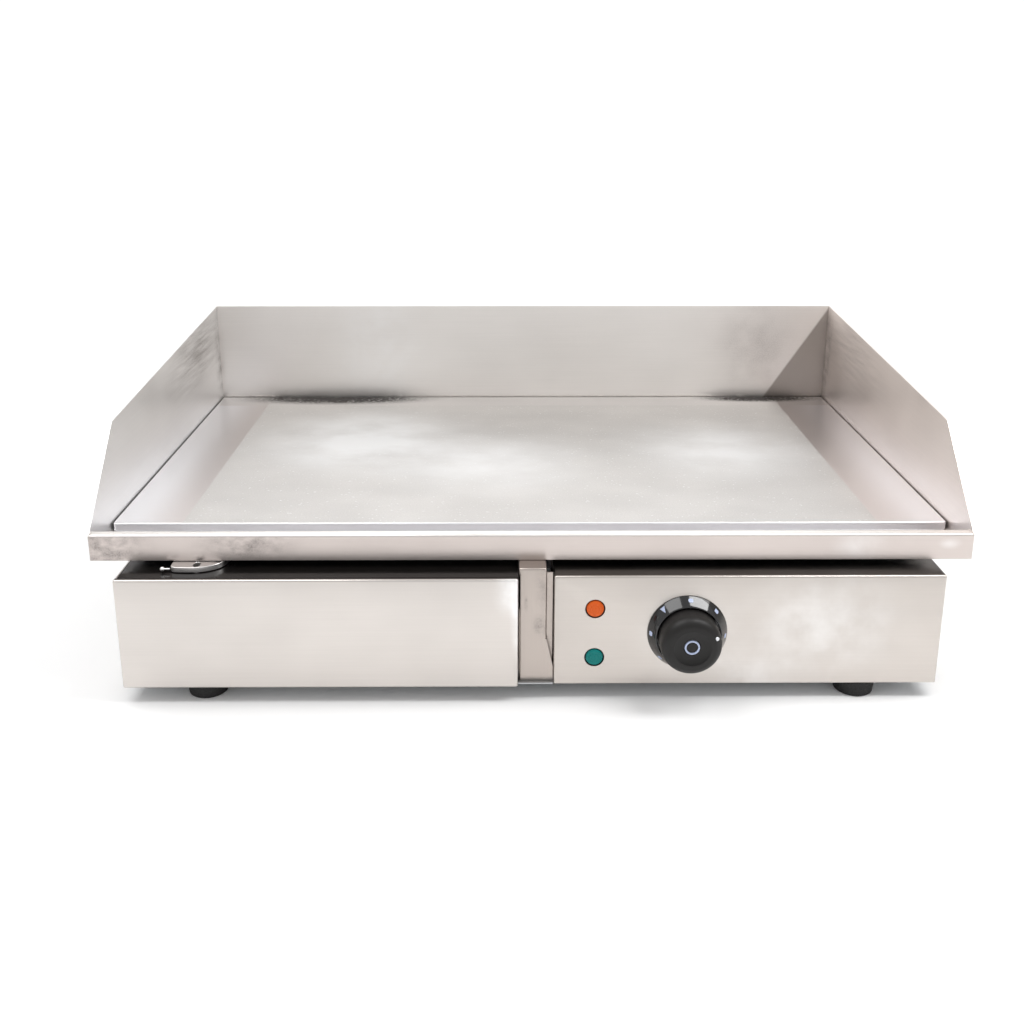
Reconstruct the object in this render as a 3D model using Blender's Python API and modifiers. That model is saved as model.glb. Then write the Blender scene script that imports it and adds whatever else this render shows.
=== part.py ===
"""Countertop electric griddle: a steel cooking plate in a folded stainless surround, on a low housing
with a grease drawer on the left and a control box on the right.

Frame: +X to the user's right, -Y towards the user, +Z up. The origin is on the table, under the middle
of the griddle. Lengths are in metres.
"""

from math import cos, pi, radians, sin, tan

import bmesh
import bpy
from mathutils import Matrix, Vector

MM = 0.001

# Driving sizes: widths, along X
SURROUND_WIDTH = 730 * MM  # over the side splash walls and the apron
SIDE_OVERHANG = 27 * MM  # surround past the lower housing, on each side
PLATE_GAP = 1.8 * MM  # between the plate's side edge and a splash wall
POST_WIDTH = 22.9 * MM
POST_OFFSET = 0.25 * MM  # the middle post's centre line, right of the middle
POST_SLOT = 6.1 * MM  # open slot between the post and the control box

# Driving sizes: depths, along Y
PLATE_DEPTH = 400 * MM
TROUGH_DEPTH = 50 * MM  # from the apron's face to the plate's front edge
BOX_LEAD = 20 * MM  # control box face ahead of the apron's face
DRAWER_PROUD = 6 * MM  # drawer face ahead of the control box face
KNOB_REACH = 29.5 * MM  # knob face ahead of the control box face
PLATE_BACK_GAP = 1.3 * MM
REAR_OVERHANG = 27 * MM  # surround past the housing, at the back
BAY_STOP = 0.8 * MM  # back of the drawer deck and control box, ahead of the plate's front edge
TRAY_DEPTH = 190 * MM
GUARD_RAKE = 77 * MM  # where the side wall's raked front edge meets its top edge

# Driving sizes: heights, along Z
FOOT_HEIGHT = 13 * MM
HOUSING_HEIGHT = 97.3 * MM  # drawer face and control box
UNDERCUT = 5.7 * MM  # air gap between the housing's deck and the surround
PLATE_RISE = 4.6 * MM  # plate's underside above the surround's lower edge
PLATE_THICKNESS = 8 * MM
LIP_RISE = 9.9 * MM  # apron's top above the plate
GUARD_HEIGHT = 111.4 * MM  # rear splash wall above the plate
GUARD_SHOULDER = 84.2 * MM  # side wall's corner above the plate
SHIELD_CLEARANCE = 8 * MM  # between the tray's rim and the heat shield

# Sheets, gaps and bends
SHEET = 1.2 * MM
THIN_SHEET = 1.0 * MM
TOUCH = 0.3 * MM  # left between faces that rest on each other
RUNNING = 1.0 * MM  # side clearance of the tray in its rails
BEND = SHEET + 0.4 * MM
BEND_STEPS = 3
ROUND_STEPS = 24

# Fittings
HEM = 5 * MM  # drawer front's folded edge
LIP_DEPTH = 10 * MM
LIP_DROP = 4 * MM
RAIL_OVERLAP = 8 * MM  # support rails, in over the housing's sides and back
DRAIN_SIDE = 70 * MM  # drain hole's centre, in from the housing's left side
DRAIN_INSET = 16.5 * MM  # drain hole's centre behind the apron's face
DRAIN_RADIUS = 7 * MM
SPOUT_ROLL_LEAD = 10 * MM  # rolled edge ahead of the apron's face
SPOUT_ROLL_LENGTH = 18 * MM
SPOUT_PIN_RADIUS = 0.7 * MM
SPOUT_BALL_RADIUS = 2 * MM
POST_INSET = 3.5 * MM  # post's face behind the control box face
POST_TAB_LOW = 13 * MM  # foot tab's height at its outer end
POST_TAB_HIGH = 38 * MM  # and where it meets the post
FOOT_SIDE = 64 * MM  # foot's centre, in from the housing's side
FOOT_FRONT = 15.7 * MM  # front foot's centre behind the control box face
FOOT_REAR = 25 * MM  # rear foot's centre ahead of the housing's back
FOOT_TOP_RADIUS = 16 * MM
FOOT_BASE_RADIUS = 13.5 * MM
FOOT_RECESS = 6 * MM  # radius and depth of the screw's recess
SCREW_RADIUS = 2 * MM
VENT_ROWS = 3
VENT_PITCH = 26 * MM  # between rows of slots in the base
VENT_REACH = 98 * MM  # ends of the rows, in from the housing's sides
VENT_BACK = 132 * MM  # rearmost row, in from the housing's back
REAR_VENT_RISE = 22 * MM  # lowest row in the rear panel, above the base
REAR_VENT_PITCH = 16 * MM
ELEMENT_RADIUS = 4 * MM
ELEMENT_BEND = 28 * MM
ELEMENT_SIDE = 48 * MM  # outermost leg, in from the housing's side
ELEMENT_MIDDLE = 30 * MM  # innermost leg, out from the middle
TAIL_INSET = 30 * MM  # turned-down ends, in from the housing's back
STUD_RADIUS = 3 * MM
STUD_SPARE = 2 * MM  # thread past the nut
CLAMP_THICKNESS = 3 * MM
CLAMP_INSET = 58 * MM  # clamp bars, in from the elements' front and rear bends
NUT_HEIGHT = 4 * MM
BULB_RADIUS = 3 * MM
BLANKET_THICKNESS = 13 * MM
BLANKET_GAP = 2.5 * MM  # between the blanket and the shield
SHIELD_RIM = 15 * MM
KNOB_SIDE = 109.9 * MM  # knob's centre from the control box's left edge
KNOB_LOW = 1.35 * MM  # knob's centre below the middle of the control box
KNOB_RADIUS = 25 * MM
KNOB_WELL = 0.8 * MM  # gap between the knob and the bezel
BEZEL_WIDTH = 8 * MM
BEZEL_HEIGHT = 9.5 * MM
SPINDLE_RADIUS = 3 * MM
THERMOSTAT_HALF = 22 * MM
LAMP_SIDE = 33.7 * MM  # lamps' centres from the control box's left edge
ORANGE_DROP = 29 * MM  # orange lamp below the control box's top
GREEN_RISE = 24.3 * MM  # green lamp above its lower edge
LENS_RADIUS = 7.7 * MM
LENS_CROWN = 1.1 * MM
LAMP_LENGTH = 28 * MM
GLAND_SIDE = 88 * MM  # cable gland, in from the housing's right side
GLAND_RISE = 35 * MM
GLAND_RADIUS = 10 * MM
GLAND_WALL = 1.5 * MM
GLAND_COLLAR = 5 * MM  # thickness of the gland's hexagon flange
GLAND_LENGTH = 12 * MM
GLAND_TAIL = 9 * MM  # thread inside the rear panel
GLAND_DOME = 18 * MM
CABLE_RADIUS = 4 * MM
LOOM_RISE = 20 * MM
EARTH_SIDE = 42 * MM
EARTH_LENGTH = 14 * MM
TERMINAL_HALF = 28 * MM
TERMINAL_DEPTH = 22 * MM
TERMINAL_HEIGHT = 26 * MM
TERMINAL_INSET = 36 * MM  # terminal block, in from the housing's back
TERMINAL_PITCH = 17 * MM

# Levels that follow from the driving sizes
DEPTH = KNOB_REACH + BOX_LEAD + TROUGH_DEPTH + PLATE_DEPTH + PLATE_BACK_GAP + SHEET
KNOB_Y = -DEPTH / 2
BOX_Y = KNOB_Y + KNOB_REACH
DRAWER_Y = BOX_Y - DRAWER_PROUD
APRON_Y = BOX_Y + BOX_LEAD
PLATE_Y = APRON_Y + TROUGH_DEPTH
BACK_Y = DEPTH / 2
WALL_Y = BACK_Y - SHEET - TOUCH  # rear end of what stops at the rear splash wall
REAR_Y = BACK_Y - REAR_OVERHANG
BAY_Y = PLATE_Y - BAY_STOP

DECK_Z = FOOT_HEIGHT + HOUSING_HEIGHT
BASE_TOP = FOOT_HEIGHT + SHEET
SURROUND_Z = DECK_Z + UNDERCUT
PANEL_TOP = SURROUND_Z - TOUCH
PLATE_Z = SURROUND_Z + PLATE_RISE
PLATE_TOP = PLATE_Z + PLATE_THICKNESS
LIP_Z = PLATE_TOP + LIP_RISE
GUARD_Z = PLATE_TOP + GUARD_HEIGHT

WALL_X = SURROUND_WIDTH / 2
INNER_X = WALL_X - SHEET
SIDE_X = WALL_X - SIDE_OVERHANG
BAY_X = SIDE_X - SHEET - TOUCH  # outermost X inside the housing
POST_LEFT = POST_OFFSET - POST_WIDTH / 2
POST_RIGHT = POST_OFFSET + POST_WIDTH / 2
CONTROL_LEFT = POST_RIGHT + POST_SLOT

TROUGH_BACK = PLATE_Y + 6.7 * MM
BULKHEAD_Y = BAY_Y + 0.5 * MM
HOT_ZONE_Y = TROUGH_BACK + 2.8 * MM

ELEMENT_Z = PLATE_Z - TOUCH - ELEMENT_RADIUS
CLAMP_TOP = ELEMENT_Z - ELEMENT_RADIUS - TOUCH
STUD_END = CLAMP_TOP - CLAMP_THICKNESS - NUT_HEIGHT - STUD_SPARE
BLANKET_TOP = STUD_END - TOUCH
BLANKET_Z = BLANKET_TOP - BLANKET_THICKNESS
SHIELD_Z = BLANKET_Z - BLANKET_GAP - SHEET
TRAY_Z = BASE_TOP + SHEET + 2 * TOUCH
TRAY_TOP = SHIELD_Z - SHIELD_CLEARANCE

LEG_PITCH = (SIDE_X - ELEMENT_SIDE - ELEMENT_MIDDLE) / 3
ELEMENT_LEGS = [ELEMENT_MIDDLE + LEG_PITCH * leg for leg in range(4)]
ELEMENT_FRONT = HOT_ZONE_Y + 18 * MM
ELEMENT_REAR = REAR_Y - 52 * MM
STUD_X = (ELEMENT_LEGS[1] + ELEMENT_LEGS[2]) / 2
CLAMP_YS = (ELEMENT_FRONT + CLAMP_INSET, ELEMENT_REAR - CLAMP_INSET)

DRAIN_X = DRAIN_SIDE - SIDE_X
DRAIN_Y = APRON_Y + DRAIN_INSET
FOOT_X = SIDE_X - FOOT_SIDE
KNOB_X = CONTROL_LEFT + KNOB_SIDE
KNOB_Z = FOOT_HEIGHT + HOUSING_HEIGHT / 2 - KNOB_LOW
LAMP_X = CONTROL_LEFT + LAMP_SIDE
LAMP_ZS = {"orange": DECK_Z - ORANGE_DROP, "green": FOOT_HEIGHT + GREEN_RISE}
CAPILLARY_X = CONTROL_LEFT + 22 * MM
CAPILLARY_Z = BLANKET_TOP + 3 * MM
GLAND_X = SIDE_X - GLAND_SIDE
GLAND_Z = FOOT_HEIGHT + GLAND_RISE
EARTH_X = SIDE_X - EARTH_SIDE
LOOM_Z = BASE_TOP + LOOM_RISE

# sRGB colour, roughness, metallic
FINISHES = {
    "satin_stainless": ("D1CCC7", 0.32, 1.0),
    "polished_stainless": ("E8E4E0", 0.18, 1.0),
    "ground_steel": ("E6E5E3", 0.28, 1.0),
    "zinc_steel": ("B9BDC0", 0.4, 1.0),
    "black_enamel": ("1B1918", 0.16, 0.0),
    "element_sheath": ("55504B", 0.5, 1.0),
    "ceramic_fibre": ("ECE7DC", 0.95, 0.0),
    "black_phenolic": ("1E1D1D", 0.45, 0.0),
    "gloss_black": ("141416", 0.12, 0.0),
    "pale_insert": ("AEB9D2", 0.35, 0.3),
    "orange_lens": ("DD6322", 0.2, 0.0),
    "green_lens": ("00797B", 0.2, 0.0),
    "white_nylon": ("DADAD2", 0.5, 0.0),
    "black_rubber": ("151415", 0.8, 0.0),
    "black_nylon": ("1B1B1D", 0.5, 0.0),
    "copper": ("B87548", 0.35, 1.0),
    "loom_sleeve": ("2A2A2C", 0.7, 0.0),
}

UPRIGHT = (radians(90), 0, 0)  # local X, Y, Z to world X, Z, -Y
ENDWISE = (radians(90), 0, radians(90))  # local X, Y, Z to world Y, Z, X
SIDEWAYS = (0, radians(90), 0)  # local Z to world X
REARWARD = (radians(-90), 0, 0)  # local Z to world Y


def clear_scene():
    for obj in list(bpy.data.objects):
        bpy.data.objects.remove(obj, do_unlink=True)


def new_collection(name):
    collection = bpy.data.collections.new(name)
    bpy.context.scene.collection.children.link(collection)
    return collection


def linear(hex_colour):
    channels = [int(hex_colour[i : i + 2], 16) / 255 for i in (0, 2, 4)]
    return [c / 12.92 if c <= 0.04045 else ((c + 0.055) / 1.055) ** 2.4 for c in channels]


def finished(obj, finish):
    """Gives the object a material of its own."""
    colour, roughness, metallic = FINISHES[finish]
    material = bpy.data.materials.new(f"{obj.name}_{finish}")
    material.use_nodes = True
    shader = material.node_tree.nodes["Principled BSDF"]
    shader.inputs["Base Color"].default_value = (*linear(colour), 1)
    shader.inputs["Roughness"].default_value = roughness
    shader.inputs["Metallic"].default_value = metallic
    material.diffuse_color = (*linear(colour), 1)
    obj.data.materials.append(material)
    return obj


def placed(name, data, finish, location=(0, 0, 0), rotation=(0, 0, 0)):
    obj = bpy.data.objects.new(name, data)
    obj.location = location
    obj.rotation_euler = rotation
    if finish is None:
        obj.hide_render = True
        obj.display_type = "WIRE"
        CUTTERS.objects.link(obj)
        return obj
    PARTS.objects.link(obj)
    return finished(obj, finish)


def block_mesh(name, size, keep=None, radius=0):
    """A cuboid about its centre. keep(normal) says which faces stay; radius rounds its edges."""
    mesh = bpy.data.meshes.new(name)
    form = bmesh.new()
    bmesh.ops.create_cube(form, size=1, matrix=Matrix.Diagonal((*size, 1)))
    if keep is not None:
        form.normal_update()
        gone = [face for face in form.faces if not keep(face.normal)]
        bmesh.ops.delete(form, geom=gone, context="FACES")
    if radius:
        inner = [edge for edge in form.edges if len(edge.link_faces) == 2]
        bmesh.ops.bevel(form, geom=inner, offset=radius, segments=3, affect="EDGES", profile=0.5)
    form.to_mesh(mesh)
    form.free()
    return mesh


def block(name, low, high, finish, radius=0):
    low, high = Vector(low), Vector(high)
    mesh = block_mesh(name, high - low, radius=radius)
    return placed(name, mesh, finish, (low + high) / 2)


def shell(name, low, high, open_sides, thickness, finish, radius=BEND):
    """A folded sheet box, open towards each of open_sides, with its sheet inside the given corners."""
    low, high = Vector(low), Vector(high)
    openings = [Vector(side) for side in open_sides]
    mesh = block_mesh(name, high - low, lambda n: all(n.dot(o) < 0.9 for o in openings), radius)
    obj = placed(name, mesh, finish, (low + high) / 2)
    sheet = obj.modifiers.new("Sheet", "SOLIDIFY")
    sheet.thickness = thickness
    sheet.offset = -1
    sheet.use_even_offset = True
    return obj


def rod(name, radius, start, length, rotation, finish, sides=ROUND_STEPS):
    """A cylinder, or a hexagon with sides=6, from start along the rotated local Z."""
    mesh = bpy.data.meshes.new(name)
    form = bmesh.new()
    bmesh.ops.create_cone(
        form,
        cap_ends=True,
        segments=sides,
        radius1=radius,
        radius2=radius,
        depth=length,
        matrix=Matrix.Translation((0, 0, length / 2)),
    )
    form.to_mesh(mesh)
    form.free()
    mesh.shade_smooth()
    mesh.set_sharp_from_angle(angle=radians(40))
    return placed(name, mesh, finish, start, rotation)


def turned(name, profile, location, rotation, finish, ring=False, steps=ROUND_STEPS):
    """Turns (radius, height) points about local Z. The points run down the outer side; a ring closes."""
    mesh = bpy.data.meshes.new(name)
    edges = [(i, i + 1) for i in range(len(profile) - 1)]
    if ring:
        edges.append((len(profile) - 1, 0))
    mesh.from_pydata([(radius, 0, height) for radius, height in profile], edges, [])
    obj = placed(name, mesh, finish, location, rotation)
    screw = obj.modifiers.new("Turn", "SCREW")
    screw.axis = "Z"
    screw.angle = 2 * pi
    screw.steps = steps
    screw.render_steps = steps
    screw.use_merge_vertices = True
    screw.merge_threshold = 0.00001
    screw.use_smooth_shade = False
    return obj


def arc(centre_x, centre_y, radius, start, end, steps):
    """Points of an arc, its angles in degrees."""
    turns = [radians(start + (end - start) * i / steps) for i in range(steps + 1)]
    return [(centre_x + radius * cos(t), centre_y + radius * sin(t)) for t in turns]


def circle(centre_x, centre_y, radius, steps=16):
    return arc(centre_x, centre_y, radius, 0, 360, steps)[:-1]


def slot(centre_x, centre_y, length, width):
    """A slot with round ends, lying along X."""
    reach = (length - width) / 2
    right = arc(centre_x + reach, centre_y, width / 2, -90, 90, 4)
    left = arc(centre_x - reach, centre_y, width / 2, 90, 270, 4)
    return right + left


def slot_row(left, right, y, length, width, gap):
    """As many equal slots as fit between left and right, centred."""
    count = int((right - left + gap) / (length + gap))
    first = (left + right) / 2 - (count - 1) * (length + gap) / 2
    return [slot(first + i * (length + gap), y, length, width) for i in range(count)]


def rectangle(left, low, right, high):
    return [(left, low), (right, low), (right, high), (left, high)]


def rounded(points, radius, steps=BEND_STEPS):
    """The path with each inner corner replaced by an arc, as a folded sheet or a bent tube has."""
    path = [Vector((*point, 0)[:3]) for point in points]
    result = [path[0]]
    for before, corner, after in zip(path, path[1:], path[2:]):
        back = (before - corner).normalized()
        ahead = (after - corner).normalized()
        half_angle = back.angle(ahead) / 2
        bisector = (back + ahead).normalized()
        centre = corner + bisector * (radius / sin(half_angle))
        start = (corner + back * (radius / tan(half_angle)) - centre).normalized()
        end = (corner + ahead * (radius / tan(half_angle)) - centre).normalized()
        for step in range(steps + 1):
            result.append(centre + start.slerp(end, step / steps) * radius)
    return [*result, path[-1]]


def curve_of(name, outlines, cyclic):
    curve = bpy.data.curves.new(name, "CURVE")
    curve.resolution_u = 1
    for outline in outlines:
        spline = curve.splines.new("POLY")
        spline.points.add(len(outline) - 1)
        spline.use_cyclic_u = cyclic
        for place, point in zip(spline.points, outline):
            place.co = (*(*point, 0)[:3], 1)
    return curve


def flat(name, outline, thickness, location, rotation, finish, holes=()):
    """A flat plate: its outline and holes in local X and Y, its lower face through the location."""
    curve = curve_of(name, [outline, *holes], True)
    curve.dimensions = "2D"
    curve.fill_mode = "BOTH"
    curve.extrude = thickness / 2
    obj = placed(name, curve, finish, location, rotation)
    obj.location += obj.rotation_euler.to_matrix() @ Vector((0, 0, thickness / 2))
    return obj


def folded(name, section, length, thickness, location, rotation, finish, radius=BEND):
    """A sheet folded along its section in local X and Y, and centred along local Z.

    The sheet lies to the left of the section's direction.
    """
    curve = curve_of(name, [rounded(section, radius)], False)
    curve.dimensions = "3D"
    curve.extrude = length / 2
    obj = placed(name, curve, finish, location, rotation)
    sheet = obj.modifiers.new("Sheet", "SOLIDIFY")
    sheet.thickness = thickness
    sheet.offset = 1
    sheet.use_even_offset = True
    return obj


def tube(name, path, radius, finish, scales=None):
    curve = curve_of(name, [path], False)
    curve.dimensions = "3D"
    curve.bevel_depth = radius
    curve.bevel_resolution = 2
    curve.use_fill_caps = True
    for place, scale in zip(curve.splines[0].points, scales or []):
        place.radius = scale
    return placed(name, curve, finish)


def as_mesh(obj):
    """Turns a curve object into a mesh object with welded caps, so that a Boolean can cut it."""
    graph = bpy.context.evaluated_depsgraph_get()
    mesh = bpy.data.meshes.new_from_object(obj.evaluated_get(graph))
    form = bmesh.new()
    form.from_mesh(mesh)
    bmesh.ops.remove_doubles(form, verts=form.verts, dist=0.00001)
    form.to_mesh(mesh)
    form.free()
    made = bpy.data.objects.new("welded", mesh)
    made.matrix_world = obj.matrix_world.copy()
    made.hide_render = obj.hide_render
    made.display_type = obj.display_type
    obj.users_collection[0].objects.link(made)
    name = obj.name
    bpy.data.objects.remove(obj, do_unlink=True)
    made.name = name
    return made


def boolean(obj, other, operation="DIFFERENCE"):
    modifier = obj.modifiers.new(other.name, "BOOLEAN")
    modifier.operation = operation
    modifier.solver = "EXACT"
    modifier.object = other


def bored(obj, radius, start, length, rotation):
    """Cuts a round hole, which runs from start along the rotated local Z."""
    boolean(obj, rod(f"{obj.name}_cutter", radius, start, length, rotation, None))


def parented(obj, empty):
    """Hangs the object on an empty without moving it."""
    obj.parent = empty
    obj.matrix_parent_inverse = Matrix.Translation(empty.location).inverted()


def empty_at(name, location):
    empty = bpy.data.objects.new(name, None)
    empty.location = location
    PARTS.objects.link(empty)
    return empty


# Cooking plate and surround


def griddle_plate():
    half = INNER_X - PLATE_GAP
    low = (-half, PLATE_Y, PLATE_Z)
    high = (half, PLATE_Y + PLATE_DEPTH, PLATE_TOP)
    plate = block("griddle_plate", low, high, "ground_steel", radius=1.5 * MM)
    for side in (-1, 1):
        for y in CLAMP_YS:
            start = (side * STUD_X, y, STUD_END)
            reach = PLATE_Z + 1 * MM - STUD_END
            boolean(plate, rod("weld_stud", STUD_RADIUS, start, reach, (0, 0, 0), None, 16), "UNION")


def splash_walls():
    """Three sheets round the plate. The side sheets are notched round the apron's lip."""
    front = APRON_Y + SHEET + TOUCH
    notch_back = APRON_Y + LIP_DEPTH + TOUCH
    notch_low = LIP_Z - LIP_DROP - TOUCH
    notch_high = LIP_Z + TOUCH
    outline = [(front, SURROUND_Z), (WALL_Y, SURROUND_Z), (WALL_Y, GUARD_Z)]
    outline += [(APRON_Y + GUARD_RAKE, PLATE_TOP + GUARD_SHOULDER), (APRON_Y, notch_high)]
    outline += [(notch_back, notch_high), (notch_back, notch_low), (front, notch_low)]
    flat("left_splash_wall", outline, SHEET, (-WALL_X, 0, 0), ENDWISE, "satin_stainless")
    flat("right_splash_wall", outline, SHEET, (INNER_X, 0, 0), ENDWISE, "satin_stainless")
    outline = rectangle(-WALL_X, SURROUND_Z, WALL_X, GUARD_Z)
    flat("rear_splash_wall", outline, SHEET, (0, BACK_Y, 0), UPRIGHT, "satin_stainless")


def front_apron():
    section = [
        (APRON_Y + LIP_DEPTH, LIP_Z - LIP_DROP),
        (APRON_Y + LIP_DEPTH, LIP_Z),
        (APRON_Y, LIP_Z),
        (APRON_Y, SURROUND_Z),
    ]
    folded("front_apron", section, SURROUND_WIDTH, SHEET, (0, 0, 0), ENDWISE, "satin_stainless")


def grease_trough():
    front = APRON_Y + SHEET + TOUCH
    section = [
        (front, LIP_Z - SHEET - TOUCH),
        (front, SURROUND_Z),
        (TROUGH_BACK, SURROUND_Z),
        (TROUGH_BACK, PLATE_Z - TOUCH),
    ]
    length = 2 * (INNER_X - TOUCH)
    trough = folded("grease_trough", section, length, SHEET, (0, 0, 0), ENDWISE, "satin_stainless")
    trough = as_mesh(trough)
    start = (DRAIN_X, DRAIN_Y, SURROUND_Z - SHEET)
    bored(trough, DRAIN_RADIUS, start, 4 * SHEET, (0, 0, 0))


def drain_spout():
    """A flat tongue under the trough's drain hole, with its left edge rolled round a wire pin."""
    roll_radius = UNDERCUT / 2 - 2 * TOUCH
    roll_z = DECK_Z + UNDERCUT / 2
    roll_y = APRON_Y - SPOUT_ROLL_LEAD
    front = APRON_Y - 12.5 * MM
    back = DRAIN_Y + DRAIN_RADIUS + 8 * MM
    left = DRAIN_X - 32 * MM
    neck = DRAIN_X - 10 * MM
    right = DRAIN_X + 16 * MM
    bow = arc(neck, APRON_Y + 13 * MM, right - neck, -76, 0, 8)
    outline = [(left, back), (left, roll_y), (neck - 6 * MM, roll_y), (neck - 4 * MM, front), *bow]
    outline += [(right, back)]
    hole = circle(DRAIN_X, DRAIN_Y, DRAIN_RADIUS - 2 * MM)
    place = (0, 0, roll_z - SHEET / 2)
    spout = flat("drain_spout", outline, SHEET, place, (0, 0, 0), "polished_stainless", [hole])
    spout = as_mesh(spout)
    start = (left - 0.5 * MM, roll_y, roll_z)
    length = SPOUT_ROLL_LENGTH
    boolean(spout, rod("spout_roll", roll_radius, start, length, SIDEWAYS, None, 16), "UNION")
    pin_radius, ball = SPOUT_PIN_RADIUS, SPOUT_BALL_RADIUS
    bored(spout, pin_radius + TOUCH, (left - 4 * MM, roll_y, roll_z), length, SIDEWAYS)
    end = length - 3 * ball
    profile = [(0, end), (pin_radius, end), (pin_radius, 0), *arc(0, -ball, ball, 70, -90, 8)]
    turned("spout_pin", profile, (left - 0.8 * MM, roll_y, roll_z), SIDEWAYS, "polished_stainless", steps=12)


def support_rails():
    """Flat steel bars that carry the plate's edges inside the surround."""
    low_z, high_z = SURROUND_Z, PLATE_Z - TOUCH
    front = TROUGH_BACK + TOUCH
    outer = INNER_X - TOUCH
    inner = SIDE_X - RAIL_OVERLAP
    block("left_support_rail", (-outer, front, low_z), (-inner, WALL_Y, high_z), "zinc_steel")
    block("right_support_rail", (inner, front, low_z), (outer, WALL_Y, high_z), "zinc_steel")
    reach = inner - TOUCH
    low = (-reach, REAR_Y - RAIL_OVERLAP, low_z)
    block("rear_support_rail", low, (reach, WALL_Y, high_z), "zinc_steel")


# Lower housing


def base_plate():
    """The floor, notched for the control box cover, whose front and left walls reach down past it."""
    bay_front = DRAWER_Y + HEM + TOUCH
    back = REAR_Y - SHEET - TOUCH
    notch_left, notch_right = CONTROL_LEFT - TOUCH, CONTROL_LEFT + SHEET + TOUCH
    notch_back = BAY_Y + TOUCH
    outline = [(-BAY_X, bay_front), (notch_left, bay_front), (notch_left, notch_back)]
    outline += [(notch_right, notch_back), (notch_right, BOX_Y + SHEET + TOUCH)]
    outline += [(BAY_X, BOX_Y + SHEET + TOUCH), (BAY_X, back), (-BAY_X, back)]
    holes = [circle(x, y, SCREW_RADIUS + TOUCH) for x, y in foot_places()]
    reach = SIDE_X - VENT_REACH
    for row in range(VENT_ROWS):
        y = REAR_Y - VENT_BACK - VENT_PITCH * row
        holes += slot_row(-reach, reach, y, 60 * MM, 5 * MM, 80 * MM)
    flat("base_plate", outline, SHEET, (0, 0, FOOT_HEIGHT), (0, 0, 0), "zinc_steel", holes)


def side_panels():
    low_z = FOOT_HEIGHT
    front = DRAWER_Y + HEM + TOUCH
    back = REAR_Y - SHEET - TOUCH
    step = BULKHEAD_Y
    left = [(front, low_z), (back, low_z), (back, PANEL_TOP), (step, PANEL_TOP)]
    left += [(step, DECK_Z), (front, DECK_Z)]
    flat("left_side_panel", left, SHEET, (-SIDE_X, 0, 0), ENDWISE, "satin_stainless")
    right = rectangle(step, low_z, back, PANEL_TOP)
    place = (SIDE_X - SHEET, 0, 0)
    flat("right_side_panel", right, SHEET, place, ENDWISE, "satin_stainless")


def rear_panel():
    outline = rectangle(-SIDE_X, FOOT_HEIGHT, SIDE_X, PANEL_TOP)
    holes = [circle(GLAND_X, GLAND_Z, GLAND_RADIUS + TOUCH)]
    holes += [circle(EARTH_X, GLAND_Z, SCREW_RADIUS + TOUCH)]
    for row in range(VENT_ROWS):
        z = FOOT_HEIGHT + REAR_VENT_RISE + REAR_VENT_PITCH * row
        holes += slot_row(63 * MM - SIDE_X, GLAND_X - 155 * MM, z, 70 * MM, 4.5 * MM, 30 * MM)
    flat("rear_panel", outline, SHEET, (0, REAR_Y, 0), UPRIGHT, "satin_stainless", holes)


def drawer_bay_cover():
    low_x, high_x = -BAY_X, POST_LEFT - TOUCH
    front = DRAWER_Y + HEM + TOUCH
    outline = rectangle(low_x, front, high_x, BAY_Y)
    hole = circle(DRAIN_X, DRAIN_Y, DRAIN_RADIUS + 1 * MM)
    place = (0, 0, DECK_Z - SHEET)
    flat("drawer_bay_cover", outline, SHEET, place, (0, 0, 0), "black_enamel", [hole])


def centre_post():
    """A channel that stands on the base and carries the trough, with a foot tab beside the slot."""
    low = (POST_LEFT, BOX_Y + POST_INSET, BASE_TOP + TOUCH)
    high = (POST_RIGHT, BAY_Y, PANEL_TOP)
    post = shell("centre_post", low, high, [(0, 1, 0), (0, 0, -1)], SHEET, "satin_stainless")
    end, root = POST_SLOT - 0.5 * MM, -2 * MM
    tab = [(root, 0), (end, 0), (end, POST_TAB_LOW), (0, POST_TAB_HIGH), (root, POST_TAB_HIGH)]
    place = (POST_RIGHT, low[1] + SHEET, low[2])
    cutter = as_mesh(flat("post_foot_tab", tab, SHEET, place, UPRIGHT, None))
    boolean(post, cutter, "UNION")


def bulkheads():
    """Sheets that close the hot space's front and the control box's back."""
    width = BAY_X
    base_z = SHIELD_Z
    outline = rectangle(-width, base_z, width, PANEL_TOP)
    tail = [circle(CAPILLARY_X, CAPILLARY_Z, 2.5 * MM, 12)]
    place = (0, BULKHEAD_Y + SHEET, 0)
    flat("heat_bulkhead", outline, SHEET, place, UPRIGHT, "zinc_steel", tail)
    outline = rectangle(CONTROL_LEFT, BASE_TOP + TOUCH, width, base_z - TOUCH)
    hole = [circle(GLAND_X, LOOM_Z, CABLE_RADIUS + 3 * MM)]
    flat("control_box_back", outline, SHEET, place, UPRIGHT, "zinc_steel", hole)


def control_box_cover():
    low = (CONTROL_LEFT, BOX_Y, FOOT_HEIGHT)
    high = (SIDE_X, BAY_Y, DECK_Z)
    sides = [(0, 1, 0), (0, 0, -1)]
    cover = shell("control_box_cover", low, high, sides, SHEET, "satin_stainless")
    start = BOX_Y - SHEET
    for z in LAMP_ZS.values():
        bored(cover, LENS_RADIUS + 0.6 * MM, (LAMP_X, start, z), 4 * SHEET, REARWARD)
    bored(cover, SPINDLE_RADIUS + 2 * MM, (KNOB_X, start, KNOB_Z), 4 * SHEET, REARWARD)


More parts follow.
